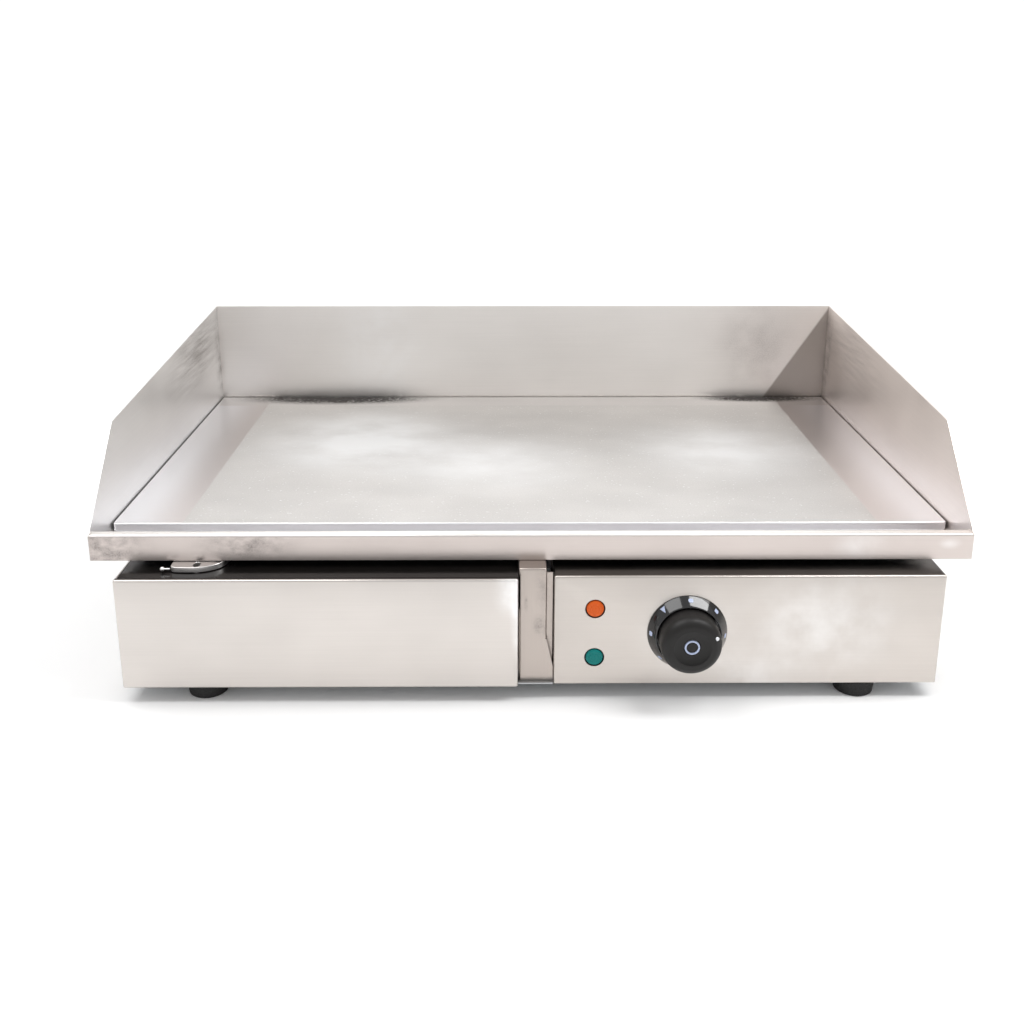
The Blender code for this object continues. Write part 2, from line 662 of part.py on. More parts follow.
def drawer_rails():
    """Angle rails on the base that carry and guide the tray."""
    flange = 12 * MM
    height = 20 * MM
    z = BASE_TOP + TOUCH
    length = TRAY_DEPTH
    middle = BOX_Y + 4 * MM + length / 2
    for side, web in (("left", -BAY_X), ("right", POST_LEFT - TOUCH)):
        inward = 1 if side == "left" else -1
        section = [(web, z + height), (web, z), (web + inward * flange, z)]
        if inward < 0:
            section.reverse()
        place = (0, middle, 0)
        folded(f"{side}_drawer_rail", section, length, SHEET, place, UPRIGHT, "zinc_steel")


# Grease drawer


def grease_drawer():
    slide = empty_at("drawer_slide", (0, DRAWER_Y, TRAY_Z))
    low = (-SIDE_X - 1 * MM, DRAWER_Y, FOOT_HEIGHT)
    high = (POST_LEFT - 2 * TOUCH, DRAWER_Y + HEM, DECK_Z)
    back_open = [(0, 1, 0)]
    front = shell("drawer_front", low, high, back_open, THIN_SHEET, "satin_stainless")
    gap = SHEET + RUNNING
    low = (-BAY_X + gap, DRAWER_Y + THIN_SHEET + TOUCH, TRAY_Z)
    high = (POST_LEFT - TOUCH - gap, DRAWER_Y + THIN_SHEET + TOUCH + TRAY_DEPTH, TRAY_TOP)
    tray = shell("drawer_tray", low, high, [(0, 0, 1)], THIN_SHEET, "satin_stainless", 3 * MM)
    for piece in (front, tray):
        parented(piece, slide)


# Feet


def foot_places():
    """(x, y) of the four feet, front left, front right, rear left and rear right."""
    return [(x, y) for y in (BOX_Y + FOOT_FRONT, REAR_Y - FOOT_REAR) for x in (-FOOT_X, FOOT_X)]


def feet():
    top = FOOT_HEIGHT - TOUCH
    seat, recess = FOOT_RECESS, FOOT_RECESS
    bore = SCREW_RADIUS + TOUCH
    profile = [(bore, top), (FOOT_TOP_RADIUS, top), (FOOT_TOP_RADIUS, top - 2 * MM)]
    profile += [(FOOT_BASE_RADIUS + 1.5 * MM, 1.5 * MM), (FOOT_BASE_RADIUS, 0)]
    profile += [(recess, 0), (recess, seat), (bore, seat)]
    head = 3.6 * MM
    low = seat - TOUCH - 2.4 * MM
    screw = [(0, BASE_TOP + 0.9 * MM), (SCREW_RADIUS, BASE_TOP + 0.9 * MM)]
    screw += [(SCREW_RADIUS, seat - TOUCH), (head, seat - TOUCH), (head, low), (0, low)]
    names = ("front_left", "front_right", "rear_left", "rear_right")
    for name, (x, y) in zip(names, foot_places()):
        turned(f"{name}_foot", profile, (x, y, 0), (0, 0, 0), "black_rubber", ring=True)
        turned(f"{name}_foot_screw", screw, (x, y, 0), (0, 0, 0), "zinc_steel", steps=16)


# Heating


def heating_elements():
    """Two sheathed elements, each bent into four legs, with both ends turned down at the back."""
    front, rear = ELEMENT_FRONT, ELEMENT_REAR
    tail = REAR_Y - TAIL_INSET
    drop = SHIELD_Z - 12 * MM
    for side, name in ((-1, "left_heating_element"), (1, "right_heating_element")):
        a, b, c, d = (side * leg for leg in ELEMENT_LEGS)
        z = ELEMENT_Z
        corners = [(a, tail, drop), (a, tail, z), (a, front, z), (b, front, z), (b, rear, z)]
        corners += [(c, rear, z), (c, front, z), (d, front, z), (d, tail, z), (d, tail, drop)]
        bends = [corners[0]]
        down = rounded(corners[:3], 12 * MM, 4)[1:-1]
        across = rounded(corners[1:-1], ELEMENT_BEND, 6)[1:-1]
        up = rounded(corners[-3:], 12 * MM, 4)[1:-1]
        bends += [*down, *across, *up, corners[-1]]
        tube(name, bends, ELEMENT_RADIUS, "element_sheath")


def tail_places():
    tail = REAR_Y - TAIL_INSET
    return [(side * leg, tail) for side in (-1, 1) for leg in (ELEMENT_LEGS[0], ELEMENT_LEGS[-1])]


def clamp_bars():
    half_width = 9 * MM
    reach = ELEMENT_LEGS[-1] + 12 * MM
    z = CLAMP_TOP - CLAMP_THICKNESS
    for name, y in zip(("front", "rear"), CLAMP_YS):
        outline = rectangle(-reach, y - half_width, reach, y + half_width)
        holes = [circle(side * STUD_X, y, STUD_RADIUS + TOUCH) for side in (-1, 1)]
        bar = f"{name}_clamp_bar"
        flat(bar, outline, CLAMP_THICKNESS, (0, 0, z), (0, 0, 0), "zinc_steel", holes)
        for side, end in ((-1, "left"), (1, "right")):
            hexagon = circle(side * STUD_X, y, 5.7 * MM, 6)
            hole = [circle(side * STUD_X, y, STUD_RADIUS + TOUCH)]
            place = (0, 0, z - TOUCH - NUT_HEIGHT)
            nut = f"{name}_{end}_clamp_nut"
            flat(nut, hexagon, NUT_HEIGHT, place, (0, 0, 0), "zinc_steel", hole)


def insulation():
    reach = BAY_X - 8 * MM
    outline = rectangle(-reach, HOT_ZONE_Y, reach, REAR_Y - 8 * MM)
    holes = [circle(x, y, ELEMENT_RADIUS + 3 * MM) for x, y in tail_places()]
    name, place = "insulation_blanket", (0, 0, BLANKET_Z)
    flat(name, outline, BLANKET_THICKNESS, place, (0, 0, 0), "ceramic_fibre", holes)
    low = (-BAY_X, HOT_ZONE_Y - 2.5 * MM, SHIELD_Z)
    high = (BAY_X, REAR_Y - SHEET - TOUCH, SHIELD_Z + SHIELD_RIM)
    shield = shell("heat_shield", low, high, [(0, 0, 1)], SHEET, "zinc_steel", 2 * MM)
    for x, y in tail_places():
        start = (x, y, SHIELD_Z - SHEET)
        bored(shield, ELEMENT_RADIUS + 2 * MM, start, 4 * SHEET, (0, 0, 0))


# Controls


def knob_bezel(face):
    well = KNOB_RADIUS + KNOB_WELL
    rim = well + 1.6 * MM
    bore = SPINDLE_RADIUS + 2 * MM
    floor = 2 * MM
    edge = well + BEZEL_WIDTH - KNOB_WELL
    profile = [(well, BEZEL_HEIGHT - 0.6 * MM), (well + 0.8 * MM, BEZEL_HEIGHT)]
    profile += [(rim, BEZEL_HEIGHT - 0.3 * MM), (edge - 0.4 * MM, 1.2 * MM), (edge, 0)]
    profile += [(bore, 0), (bore, floor), (well, floor)]
    turned("knob_bezel", profile, face, UPRIGHT, "gloss_black", ring=True, steps=40)


def control_knob(face, top, seat, well, insert):
    """The knob: a dished face with a well for the insert, and a bore down to the spindle's seat."""
    edge = 3 * MM
    skirt = 2.6 * MM
    dish = KNOB_RADIUS - 14 * MM
    crown = KNOB_RADIUS - 8 * MM
    hub = SPINDLE_RADIUS + TOUCH
    profile = [(0, well), (insert, well), (insert, well + 1.5 * MM)]
    profile += [(insert + 1 * MM, well + 1.5 * MM), (dish - 2 * MM, top - 2.6 * MM)]
    profile += [(dish, top - 1 * MM), (dish + 3 * MM, top - 0.3 * MM), (crown, top)]
    profile += arc(KNOB_RADIUS - edge, top - 0.6 * MM - edge, edge, 90, 0, 5)
    profile += [(KNOB_RADIUS, skirt), (hub, skirt), (hub, seat), (0, seat)]
    return turned("control_knob", profile, face, UPRIGHT, "black_phenolic", steps=40)


def knob_cap(face, well, insert):
    """A plain round insert with a raised rim."""
    rim = insert - TOUCH
    base = well + TOUCH
    floor, top = well + 1.5 * MM, well + 2 * MM
    profile = [(0, floor), (rim - 1.6 * MM, floor), (rim - 1.4 * MM, top), (rim - 0.2 * MM, top)]
    profile += [(rim, top - 0.2 * MM), (rim, base), (0, base)]
    return turned("knob_cap", profile, face, UPRIGHT, "pale_insert")


def knob_parts():
    turn = empty_at("knob_turn", (KNOB_X, BOX_Y, KNOB_Z))
    face = (KNOB_X, BOX_Y - TOUCH, KNOB_Z)
    knob_bezel(face)
    top = KNOB_REACH - TOUCH
    seat = top - 8 * MM
    well = top - 4.7 * MM
    insert = 6.5 * MM
    knob = control_knob(face, top, seat, well, insert)
    cap = knob_cap(face, well, insert)
    r, end, tail = SPINDLE_RADIUS, seat - TOUCH, -8 * MM
    profile = [(0, end), (r, end), (r, tail), (0, tail)]
    spindle = turned("thermostat_spindle", profile, face, UPRIGHT, "zinc_steel", steps=20)
    for piece in (knob, cap, spindle):
        parented(piece, turn)


def thermostat_body():
    half_height = 17 * MM
    low = (KNOB_X - THERMOSTAT_HALF, BOX_Y + SHEET + TOUCH, KNOB_Z - half_height)
    high = (KNOB_X + THERMOSTAT_HALF, BOX_Y + 34 * MM, KNOB_Z + half_height)
    body = block("thermostat_body", low, high, "white_nylon", radius=1 * MM)
    bored(body, SPINDLE_RADIUS + TOUCH, (KNOB_X, BOX_Y, KNOB_Z), 9 * MM, REARWARD)
    return high[1]


def thermostat_bulb(body_back):
    """The bulb under the plate, and its capillary tube down through the bulkhead to the body."""
    z = PLATE_Z - TOUCH - BULB_RADIUS
    rear, front = CLAMP_YS[0] + 50 * MM, CLAMP_YS[0] - 24 * MM
    neck = front - 6 * MM
    entry = CAPILLARY_Z
    port_x, port_z = KNOB_X - 10 * MM, KNOB_Z + 8 * MM
    corners = [(0, neck, z), (0, neck - 8 * MM, z), (22 * MM, neck - 28 * MM, entry)]
    corners += [(CAPILLARY_X, HOT_ZONE_Y + 8 * MM, entry), (CAPILLARY_X, BAY_Y - 14 * MM, entry)]
    corners += [(port_x, BAY_Y - 18 * MM, port_z), (port_x, body_back + TOUCH, port_z)]
    path = [(0, rear, z), (0, rear - 2 * MM, z), (0, front, z), *rounded(corners, 4 * MM)]
    scales = [0.7, 1, 1] + [0.34] * (len(path) - 3)
    tube("thermostat_bulb", path, BULB_RADIUS, "copper", scales)


def over_temperature_cutout():
    place = (0, CLAMP_YS[1] - 30 * MM, PLATE_Z - TOUCH)
    cap, body = 9 * MM, 6.5 * MM
    height, end = 4 * MM, 8.5 * MM
    profile = [(0, 0), (cap, 0), (cap, -height), (body, -height - 1 * MM), (body, -end), (0, -end)]
    turned("over_temperature_cutout", profile, place, (0, 0, 0), "black_phenolic", steps=20)


def lamps():
    """Two lenses in the panel, each in front of a holder that clips behind it."""
    seat = -SHEET - TOUCH
    tail = seat - 1.5 * MM
    for name, z in LAMP_ZS.items():
        face = (LAMP_X, BOX_Y, z)
        r = LENS_RADIUS
        crown = LENS_CROWN
        profile = [(0, crown), (r * 0.5, crown * 0.86), (r - 0.8 * MM, crown * 0.45), (r, -0.2 * MM)]
        profile += [(r, tail), (0, tail)]
        turned(f"{name}_lamp_lens", profile, face, UPRIGHT, f"{name}_lens")
        well = r + TOUCH
        flange = r + 2.6 * MM
        profile = [(0, tail - TOUCH), (well, tail - TOUCH), (well, seat), (flange, seat)]
        profile += [(flange, seat - 3 * MM), (r, seat - 4 * MM), (r, -LAMP_LENGTH), (0, -LAMP_LENGTH)]
        turned(f"{name}_lamp_holder", profile, face, UPRIGHT, "white_nylon", steps=20)


# Supply


def gland_parts():
    """Cable gland in the rear panel, its dome nut outside and its lock nut inside."""
    outside = (GLAND_X, REAR_Y + TOUCH, GLAND_Z)
    bore = CABLE_RADIUS + 0.5 * MM
    thread, core = GLAND_RADIUS, GLAND_RADIUS - GLAND_WALL
    collar = GLAND_RADIUS + 3.5 * MM
    profile = [(bore, GLAND_LENGTH), (core, GLAND_LENGTH), (core, GLAND_COLLAR), (collar, GLAND_COLLAR)]
    profile += [(collar, 0), (thread, 0), (thread, -GLAND_TAIL), (bore, -GLAND_TAIL)]
    turned("cable_gland_body", profile, outside, REARWARD, "black_nylon", ring=True, steps=20)
    skirt, shoulder = thread + 2.5 * MM, GLAND_DOME - 3 * MM
    profile = [(bore, GLAND_DOME), (thread - 1 * MM, GLAND_DOME), (skirt, shoulder)]
    profile += [(skirt, GLAND_COLLAR + TOUCH), (core + TOUCH, GLAND_COLLAR + TOUCH)]
    profile += [(core + TOUCH, GLAND_LENGTH + TOUCH), (bore, GLAND_LENGTH + TOUCH)]
    turned("gland_dome_nut", profile, outside, REARWARD, "black_nylon", ring=True, steps=20)
    hexagon = circle(GLAND_X, GLAND_Z, collar, 6)
    hole = [circle(GLAND_X, GLAND_Z, thread + TOUCH)]
    place = (0, REAR_Y - SHEET - TOUCH, 0)
    flat("gland_lock_nut", hexagon, 4 * MM, place, UPRIGHT, "black_nylon", hole)


def earth_terminal():
    place = (EARTH_X, REAR_Y, GLAND_Z)
    r = SCREW_RADIUS
    head = -SHEET - TOUCH
    profile = [(0, EARTH_LENGTH), (r, EARTH_LENGTH), (r, head), (2 * r, head), (2 * r, head - 2 * MM)]
    profile += [(0, head - 2 * MM)]
    turned("earth_stud", profile, place, REARWARD, "copper", steps=16)
    hexagon = circle(EARTH_X, GLAND_Z, 4.6 * MM, 6)
    hole = [circle(EARTH_X, GLAND_Z, r + TOUCH)]
    height = 1.6 * r
    place = (0, REAR_Y + TOUCH + height, 0)
    flat("earth_nut", hexagon, height, place, UPRIGHT, "copper", hole)


def wiring():
    """Terminal block on the base and the sleeved wires from it to the control box."""
    z = BASE_TOP + TOUCH
    block_back = REAR_Y - TERMINAL_INSET
    low = (GLAND_X - TERMINAL_HALF, block_back - TERMINAL_DEPTH, z)
    high = (GLAND_X + TERMINAL_HALF, block_back, z + TERMINAL_HEIGHT)
    terminals = block("terminal_block", low, high, "white_nylon")
    for step in (-1, 0, 1):
        start = (GLAND_X + step * TERMINAL_PITCH, block_back - TERMINAL_DEPTH / 2, z + 20 * MM)
        bored(terminals, 3 * MM, start, 10 * MM, (0, 0, 0))
    start = (GLAND_X, low[1] - TOUCH, LOOM_Z)
    turn_y = BAY_Y - 22 * MM
    end = (KNOB_X + THERMOSTAT_HALF + TOUCH, BOX_Y + 20 * MM, KNOB_Z)
    corners = [start, (GLAND_X, turn_y, LOOM_Z), (end[0] + 28 * MM, end[1], end[2]), end]
    tube("wiring_loom", rounded(corners, 16 * MM, 5), CABLE_RADIUS, "loom_sleeve")


def main():
    griddle_plate()
    splash_walls()
    front_apron()
    grease_trough()
    drain_spout()
    support_rails()
    base_plate()
    side_panels()
    rear_panel()
    drawer_bay_cover()
    centre_post()
    bulkheads()
    control_box_cover()
    drawer_rails()
    grease_drawer()
    feet()
    heating_elements()
    clamp_bars()
    insulation()
    knob_parts()
    thermostat_bulb(thermostat_body())
    over_temperature_cutout()
    lamps()
    gland_parts()
    earth_terminal()
    wiring()


clear_scene()
PARTS = new_collection("electric_griddle")
CUTTERS = new_collection("cutters")
CUTTERS.hide_render = True
main()
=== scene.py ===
"""Countertop electric griddle: its sheet metal, plate, controls and fittings as finished pieces,
in a plain studio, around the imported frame.

Frame: +X to the user's right, -Y towards the user, +Z up. Lengths are in metres.
"""

from math import cos, pi, radians, sin

import bmesh
import bpy
from bpy.props import FloatProperty, FloatVectorProperty, IntProperty, PointerProperty
from mathutils import Matrix, Vector


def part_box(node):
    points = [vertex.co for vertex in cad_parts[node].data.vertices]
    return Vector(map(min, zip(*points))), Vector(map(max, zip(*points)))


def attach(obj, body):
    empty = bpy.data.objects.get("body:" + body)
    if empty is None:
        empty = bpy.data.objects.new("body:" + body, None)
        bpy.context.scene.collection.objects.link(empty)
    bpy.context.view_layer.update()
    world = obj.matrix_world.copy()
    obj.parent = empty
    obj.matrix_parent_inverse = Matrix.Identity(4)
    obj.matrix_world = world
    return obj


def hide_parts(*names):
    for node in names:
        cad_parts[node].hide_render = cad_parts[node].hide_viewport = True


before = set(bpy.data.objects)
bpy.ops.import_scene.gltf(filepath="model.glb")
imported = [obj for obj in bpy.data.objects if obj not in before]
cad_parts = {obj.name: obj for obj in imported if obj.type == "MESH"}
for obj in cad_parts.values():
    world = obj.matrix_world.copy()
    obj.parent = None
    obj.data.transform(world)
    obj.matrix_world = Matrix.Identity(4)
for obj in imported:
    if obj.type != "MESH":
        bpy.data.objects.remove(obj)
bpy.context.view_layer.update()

bl_info = {
    "name": "Electric Griddle",
    "version": (1, 0, 0),
    "blender": (4, 5, 0),
    "location": "3D View > Sidebar > Griddle",
    "description": "Finished pieces, materials and studio of a countertop electric griddle",
    "category": "Object",
}

MM = 0.001
BODY = "griddle_body"
DRAWER = "grease_drawer"
KNOB = "knob_assembly"

PLATE_LOW, PLATE_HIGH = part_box("griddle_plate")
REAR_LOW, REAR_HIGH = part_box("rear_splash_wall")
SIDE_LOW, SIDE_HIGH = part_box("right_splash_wall")
APRON_LOW, APRON_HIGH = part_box("front_apron")
BEZEL_LOW, BEZEL_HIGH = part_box("knob_bezel")
DIAL_LOW, DIAL_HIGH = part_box("control_knob")

CORNERS = ("front_left", "front_right", "rear_left", "rear_right")
FRONTWARD = (radians(90), 0, 0)  # local Z to world -Y
REARWARD = (radians(-90), 0, 0)  # local Z to world Y
PLATE_LAP = 0.6 * MM  # the shown plate reaches this much further to each side
PLATE_GAP = 2.4 * MM  # dark gap between the shown plate and the rear wall
STREAK_LENGTH = 90  # length of a brushed streak over its width


def linear(hex_colour):
    """The linear colour, with alpha, of an sRGB hex value."""
    channels = [int(hex_colour[i : i + 2], 16) / 255 for i in (0, 2, 4)]
    return (*(c / 12.92 if c <= 0.04045 else ((c + 0.055) / 1.055) ** 2.4 for c in channels), 1)


WHITE = linear("FFFFFF")


def colour_property(name, description, hex_colour):
    return FloatVectorProperty(
        name=name, description=description, subtype="COLOR", size=4, min=0, max=1, default=linear(hex_colour)
    )


class SteelSettings(bpy.types.PropertyGroup):
    """Sheet metal of the surround and the housing."""

    wall_colour: colour_property("Splash walls", "Stainless of the rear wall and housing", "F3EFEB")
    apron_colour: colour_property("Apron", "Stainless of the front apron", "D3C9C4")
    drawer_colour: colour_property("Drawer", "Stainless of the drawer front", "DAD4CF")
    box_colour: colour_property("Control box", "Stainless of the control box", "CEC7C1")
    inner_colour: colour_property("Inner steel", "Zinc-plated steel inside the housing", "BFC2C4")
    # Used for rubbed-in grease and dust, and also for painted shade on the splash walls and the centre post.
    grime_and_shade_colour: colour_property("Grime", "Rubbed-in grease and grinding dust", "8A8380")
    grain_spacing: FloatProperty(
        name="Grain", description="Spacing of the brushed streaks", default=1.1 * MM, unit="LENGTH"
    )
    broken_edge: FloatProperty(
        name="Broken edge", description="Rounding of the sheets' cut edges", default=0.25 * MM, unit="LENGTH"
    )


class PlateSettings(bpy.types.PropertyGroup):
    """The cooking plate."""

    zone_colour: colour_property("Ground zone", "Surface-ground steel of the cooking zone", "E4E1DE")
    # At the wall side of each margin: painted reflection of the side wall on the smoother steel.
    margin_reflection_colour: colour_property("Margins", "Smoother steel along the plate's sides", "FAF9FC")
    margin_width: FloatProperty(
        name="Margin", description="Width of the smooth margin at each side", default=60 * MM, unit="LENGTH"
    )
    corner_radius: FloatProperty(
        name="Corner", description="Radius of the plate's corners", default=3.5 * MM, unit="LENGTH"
    )
    edge_radius: FloatProperty(
        name="Edge", description="Radius of the plate's edges", default=1.4 * MM, unit="LENGTH"
    )


class ControlSettings(bpy.types.PropertyGroup):
    """Knob, dial ring and pilot lamps."""

    knob_colour: colour_property("Knob", "Moulded phenolic of the knob", "1A1817")
    bezel_colour: colour_property("Dial ring", "Glossy moulding round the knob", "0E0E11")
    mark_colour: colour_property("Marks", "Pad-printed marks", "BFCBE8")
    orange_colour: colour_property("Orange lamp", "Heating lamp's lens", "E2601A")
    green_colour: colour_property("Green lamp", "Supply lamp's lens", "007C78")
    mark_count: IntProperty(
        name="Mark count", description="Marks round the dial, with the off mark", default=8
    )
    pointer_turn: FloatProperty(
        name="Pointer",
        description="Pointer dot, clockwise from the top",
        default=radians(66),
        unit="ROTATION",
    )
    off_turn: FloatProperty(
        name="Off mark", description="Off mark, clockwise from the top", default=radians(-43), unit="ROTATION"
    )


class StudioSettings(bpy.types.PropertyGroup):
    """Floor and camera."""

    floor_colour: colour_property("Floor", "Paper sweep under and behind the griddle", "FAFAFA")
    camera_place: FloatVectorProperty(
        name="Camera", description="Camera's place", default=(-0.0231, -1.0463, 0.4976), unit="LENGTH"
    )
    pitch: FloatProperty(name="Pitch", description="Downward tilt", default=radians(15.774), unit="ROTATION")
    yaw: FloatProperty(name="Yaw", description="Turn towards +X", default=radians(0.426), unit="ROTATION")
    roll: FloatProperty(
        name="Roll", description="Clockwise turn of the picture", default=radians(0.055), unit="ROTATION"
    )
    lens: FloatProperty(
        name="Lens", description="Focal length in millimetres on a 36 mm sensor", default=38.935
    )
    shift: FloatProperty(name="Shift", description="Vertical shift in sensor widths", default=-0.1154)


# Mesh helpers


def softened(points, radius, steps=5):
    """The open path with each inner corner rounded, in two dimensions."""
    path = [Vector(point) for point in points]
    result = [path[0]]
    for before, corner, after in zip(path, path[1:], path[2:]):
        back, ahead = before - corner, after - corner
        reach = min(radius, 0.45 * back.length, 0.45 * ahead.length)
        start = corner + back.normalized() * reach
        end = corner + ahead.normalized() * reach
        for step in range(steps + 1):
            t = step / steps
            result.append(start * (1 - t) ** 2 + corner * 2 * t * (1 - t) + end * t**2)
    return [*result, path[-1]]


def new_piece(name, mesh, body, material, stands_for=(), location=(0, 0, 0), rotation=(0, 0, 0)):
    """A shown piece on its body, with its finish, in place of the CAD nodes that it stands for."""
    piece = bpy.data.objects.new(name, mesh)
    bpy.context.scene.collection.objects.link(piece)
    piece.location = location
    piece.rotation_euler = rotation
    mesh.materials.clear()
    mesh.materials.append(material)
    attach(piece, body)
    if stands_for:
        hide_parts(*stands_for)
    return piece


def finished_mesh(form, name, sharp=radians(35)):
    bmesh.ops.recalc_face_normals(form, faces=form.faces)
    mesh = bpy.data.meshes.new(name)
    form.to_mesh(mesh)
    form.free()
    mesh.shade_smooth()
    mesh.set_sharp_from_angle(angle=sharp)
    return mesh


def edge_break(piece, width, segments=3):
    """Rounds the piece's sharp edges by the width."""
    bevel = piece.modifiers.new("Broken edges", "BEVEL")
    bevel.width = width
    bevel.segments = segments
    bevel.limit_method = "ANGLE"
    bevel.angle_limit = radians(50)
    bevel.harden_normals = True
    return piece


def lathe(name, profile, steps=96, ring=False):
    """A mesh turned about local Z from (radius, height) points. A ring's profile closes on itself."""
    form = bmesh.new()
    verts = [form.verts.new((max(r, 0), 0, h)) for r, h in profile]
    edges = [form.edges.new(pair) for pair in zip(verts, verts[1:])]
    if ring:
        edges.append(form.edges.new((verts[-1], verts[0])))
    bmesh.ops.spin(
        form, geom=verts + edges, cent=(0, 0, 0), axis=(0, 0, 1), angle=2 * pi, steps=steps, use_merge=True
    )
    bmesh.ops.remove_doubles(form, verts=form.verts, dist=1e-6)
    return finished_mesh(form, name)


def copied_form(node):
    """The CAD node's solid as a bmesh, welded and with its flat faces whole."""
    form = bmesh.new()
    form.from_mesh(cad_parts[node].data)
    bmesh.ops.remove_doubles(form, verts=form.verts, dist=1e-6)
    bmesh.ops.dissolve_limit(form, angle_limit=radians(0.5), verts=form.verts, edges=form.edges)
    return form


def sheet_piece(node, body, material, edge):
    """A folded or flat sheet: the CAD solid with its cut edges broken and its bends smooth."""
    mesh = finished_mesh(copied_form(node), f"{node}_sheet")
    if "custom_normal" in mesh.attributes:
        mesh.attributes.remove(mesh.attributes["custom_normal"])
    piece = new_piece(f"{node}_sheet", mesh, body, material, [node])
    return edge_break(piece, edge)


def painted(node, finish):
    """Gives the CAD node's own solid its finish."""
    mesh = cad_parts[node].data
    mesh.materials.clear()
    mesh.materials.append(finish)


def thickened(form, faces, depth):
    """Extrudes the faces by the depth along Z."""
    grown = bmesh.ops.extrude_face_region(form, geom=faces)
    moved = [item for item in grown["geom"] if isinstance(item, bmesh.types.BMVert)]
    bmesh.ops.translate(form, verts=moved, vec=(0, 0, depth))


def extruded(name, outline, low, high):
    """A prism over a 2D outline in local X and Y, from low to high along Z."""
    form = bmesh.new()
    face = form.faces.new([form.verts.new((x, y, low)) for x, y in outline])
    thickened(form, [face], high - low)
    return finished_mesh(form, name)


def arc(centre, radius, start, end, steps):
    """Points of an arc, its angles in degrees."""
    turns = [radians(start + (end - start) * i / steps) for i in range(steps + 1)]
    return [(centre[0] + radius * cos(t), centre[1] + radius * sin(t)) for t in turns]


# Materials


def add_node(tree, kind, inputs=None, **settings):
    """Adds a node, sets its properties, and sets or links its inputs by name or number."""
    node = tree.nodes.new(kind)
    for key, value in settings.items():
        setattr(node, key, value)
    for key, value in (inputs or {}).items():
        if isinstance(value, bpy.types.NodeSocket):
            tree.links.new(value, node.inputs[key])
        else:
            node.inputs[key].default_value = value
    return node


def new_material(name, colour, roughness, metallic=0.0, **sockets):
    """A Principled material; constants go straight on the shader's sockets."""
    made = bpy.data.materials.new(name)
    made.use_nodes = True
    shader = made.node_tree.nodes["Principled BSDF"]
    shader.inputs["Base Color"].default_value = colour
    shader.inputs["Roughness"].default_value = roughness
    shader.inputs["Metallic"].default_value = metallic
    for key, value in sockets.items():
        shader.inputs[key.replace("_", " ")].default_value = value
    made.diffuse_color = colour
    return made, made.node_tree, shader


def pattern(tree, size, low, high, detail=3.0, contrast=0.15, middle=0.5):
    """A noise whose features measure size along X, Y and Z, spread from low to high."""
    place = add_node(tree, "ShaderNodeTexCoord").outputs["Object"]
    scale = tuple(1 / length for length in size)
    mapped = add_node(tree, "ShaderNodeMapping", {"Vector": place, "Scale": scale})
    noise = add_node(
        tree, "ShaderNodeTexNoise", {"Vector": mapped.outputs["Vector"], "Scale": 1.0, "Detail": detail}
    )
    limits = {"Value": noise.outputs["Fac"], "From Min": middle - contrast, "From Max": middle + contrast}
    limits.update({"To Min": low, "To Max": high})
    return add_node(tree, "ShaderNodeMapRange", limits).outputs["Result"]


def product(tree, *factors):
    total = factors[0]
    for factor in factors[1:]:
        total = add_node(tree, "ShaderNodeMath", {0: total, 1: factor}, operation="MULTIPLY").outputs[0]
    return total


def near_point(tree, point, reach, stretch=(1, 1, 1)):
    """1 at the point, falling to 0 at reach. A stretch above 1 shortens the reach on its axis."""
    place = add_node(tree, "ShaderNodeTexCoord").outputs["Object"]
    apart = add_node(tree, "ShaderNodeVectorMath", {0: place, 1: point}, operation="SUBTRACT").outputs[0]
    shaped = add_node(tree, "ShaderNodeVectorMath", {0: apart, 1: stretch}, operation="MULTIPLY").outputs[0]
    far = add_node(tree, "ShaderNodeVectorMath", {0: shaped}, operation="LENGTH").outputs["Value"]
    limits = {"Value": far, "From Min": 0.0, "From Max": reach, "To Min": 1.0, "To Max": 0.0}
    return add_node(tree, "ShaderNodeMapRange", limits, interpolation_type="SMOOTHSTEP").outputs["Result"]


def past(tree, way, start, end, centred=False):
    """0 before start and 1 after end along a direction, or of the distance from the middle plane."""
    place = add_node(tree, "ShaderNodeTexCoord").outputs["Object"]
    along = add_node(tree, "ShaderNodeVectorMath", {0: place, 1: way}, operation="DOT_PRODUCT")
    value = along.outputs["Value"]
    if centred:
        value = add_node(tree, "ShaderNodeMath", {0: value}, operation="ABSOLUTE").outputs[0]
    limits = {"Value": value, "From Min": start, "From Max": end}
    return add_node(tree, "ShaderNodeMapRange", limits, interpolation_type="SMOOTHSTEP").outputs["Result"]


def tinted(tree, base, tint, amount, blend="MIX"):
    mixed = add_node(tree, "ShaderNodeMix", {0: amount, 6: base, 7: tint}, data_type="RGBA", blend_type=blend)
    return mixed.outputs[2]


def bumped(tree, shader, height, distance, strength):
    bump = add_node(tree, "ShaderNodeBump", {"Height": height, "Distance": distance, "Strength": strength})
    tree.links.new(bump.outputs["Normal"], shader.inputs["Normal"])


def overlaid(metal, tint, amount):
    """Lays a tint over the metal's own colour."""
    tree = metal.node_tree
    colour = tree.nodes["Principled BSDF"].inputs["Base Color"]
    tree.links.new(tinted(tree, colour.links[0].from_socket, tint, amount), colour)
    return metal


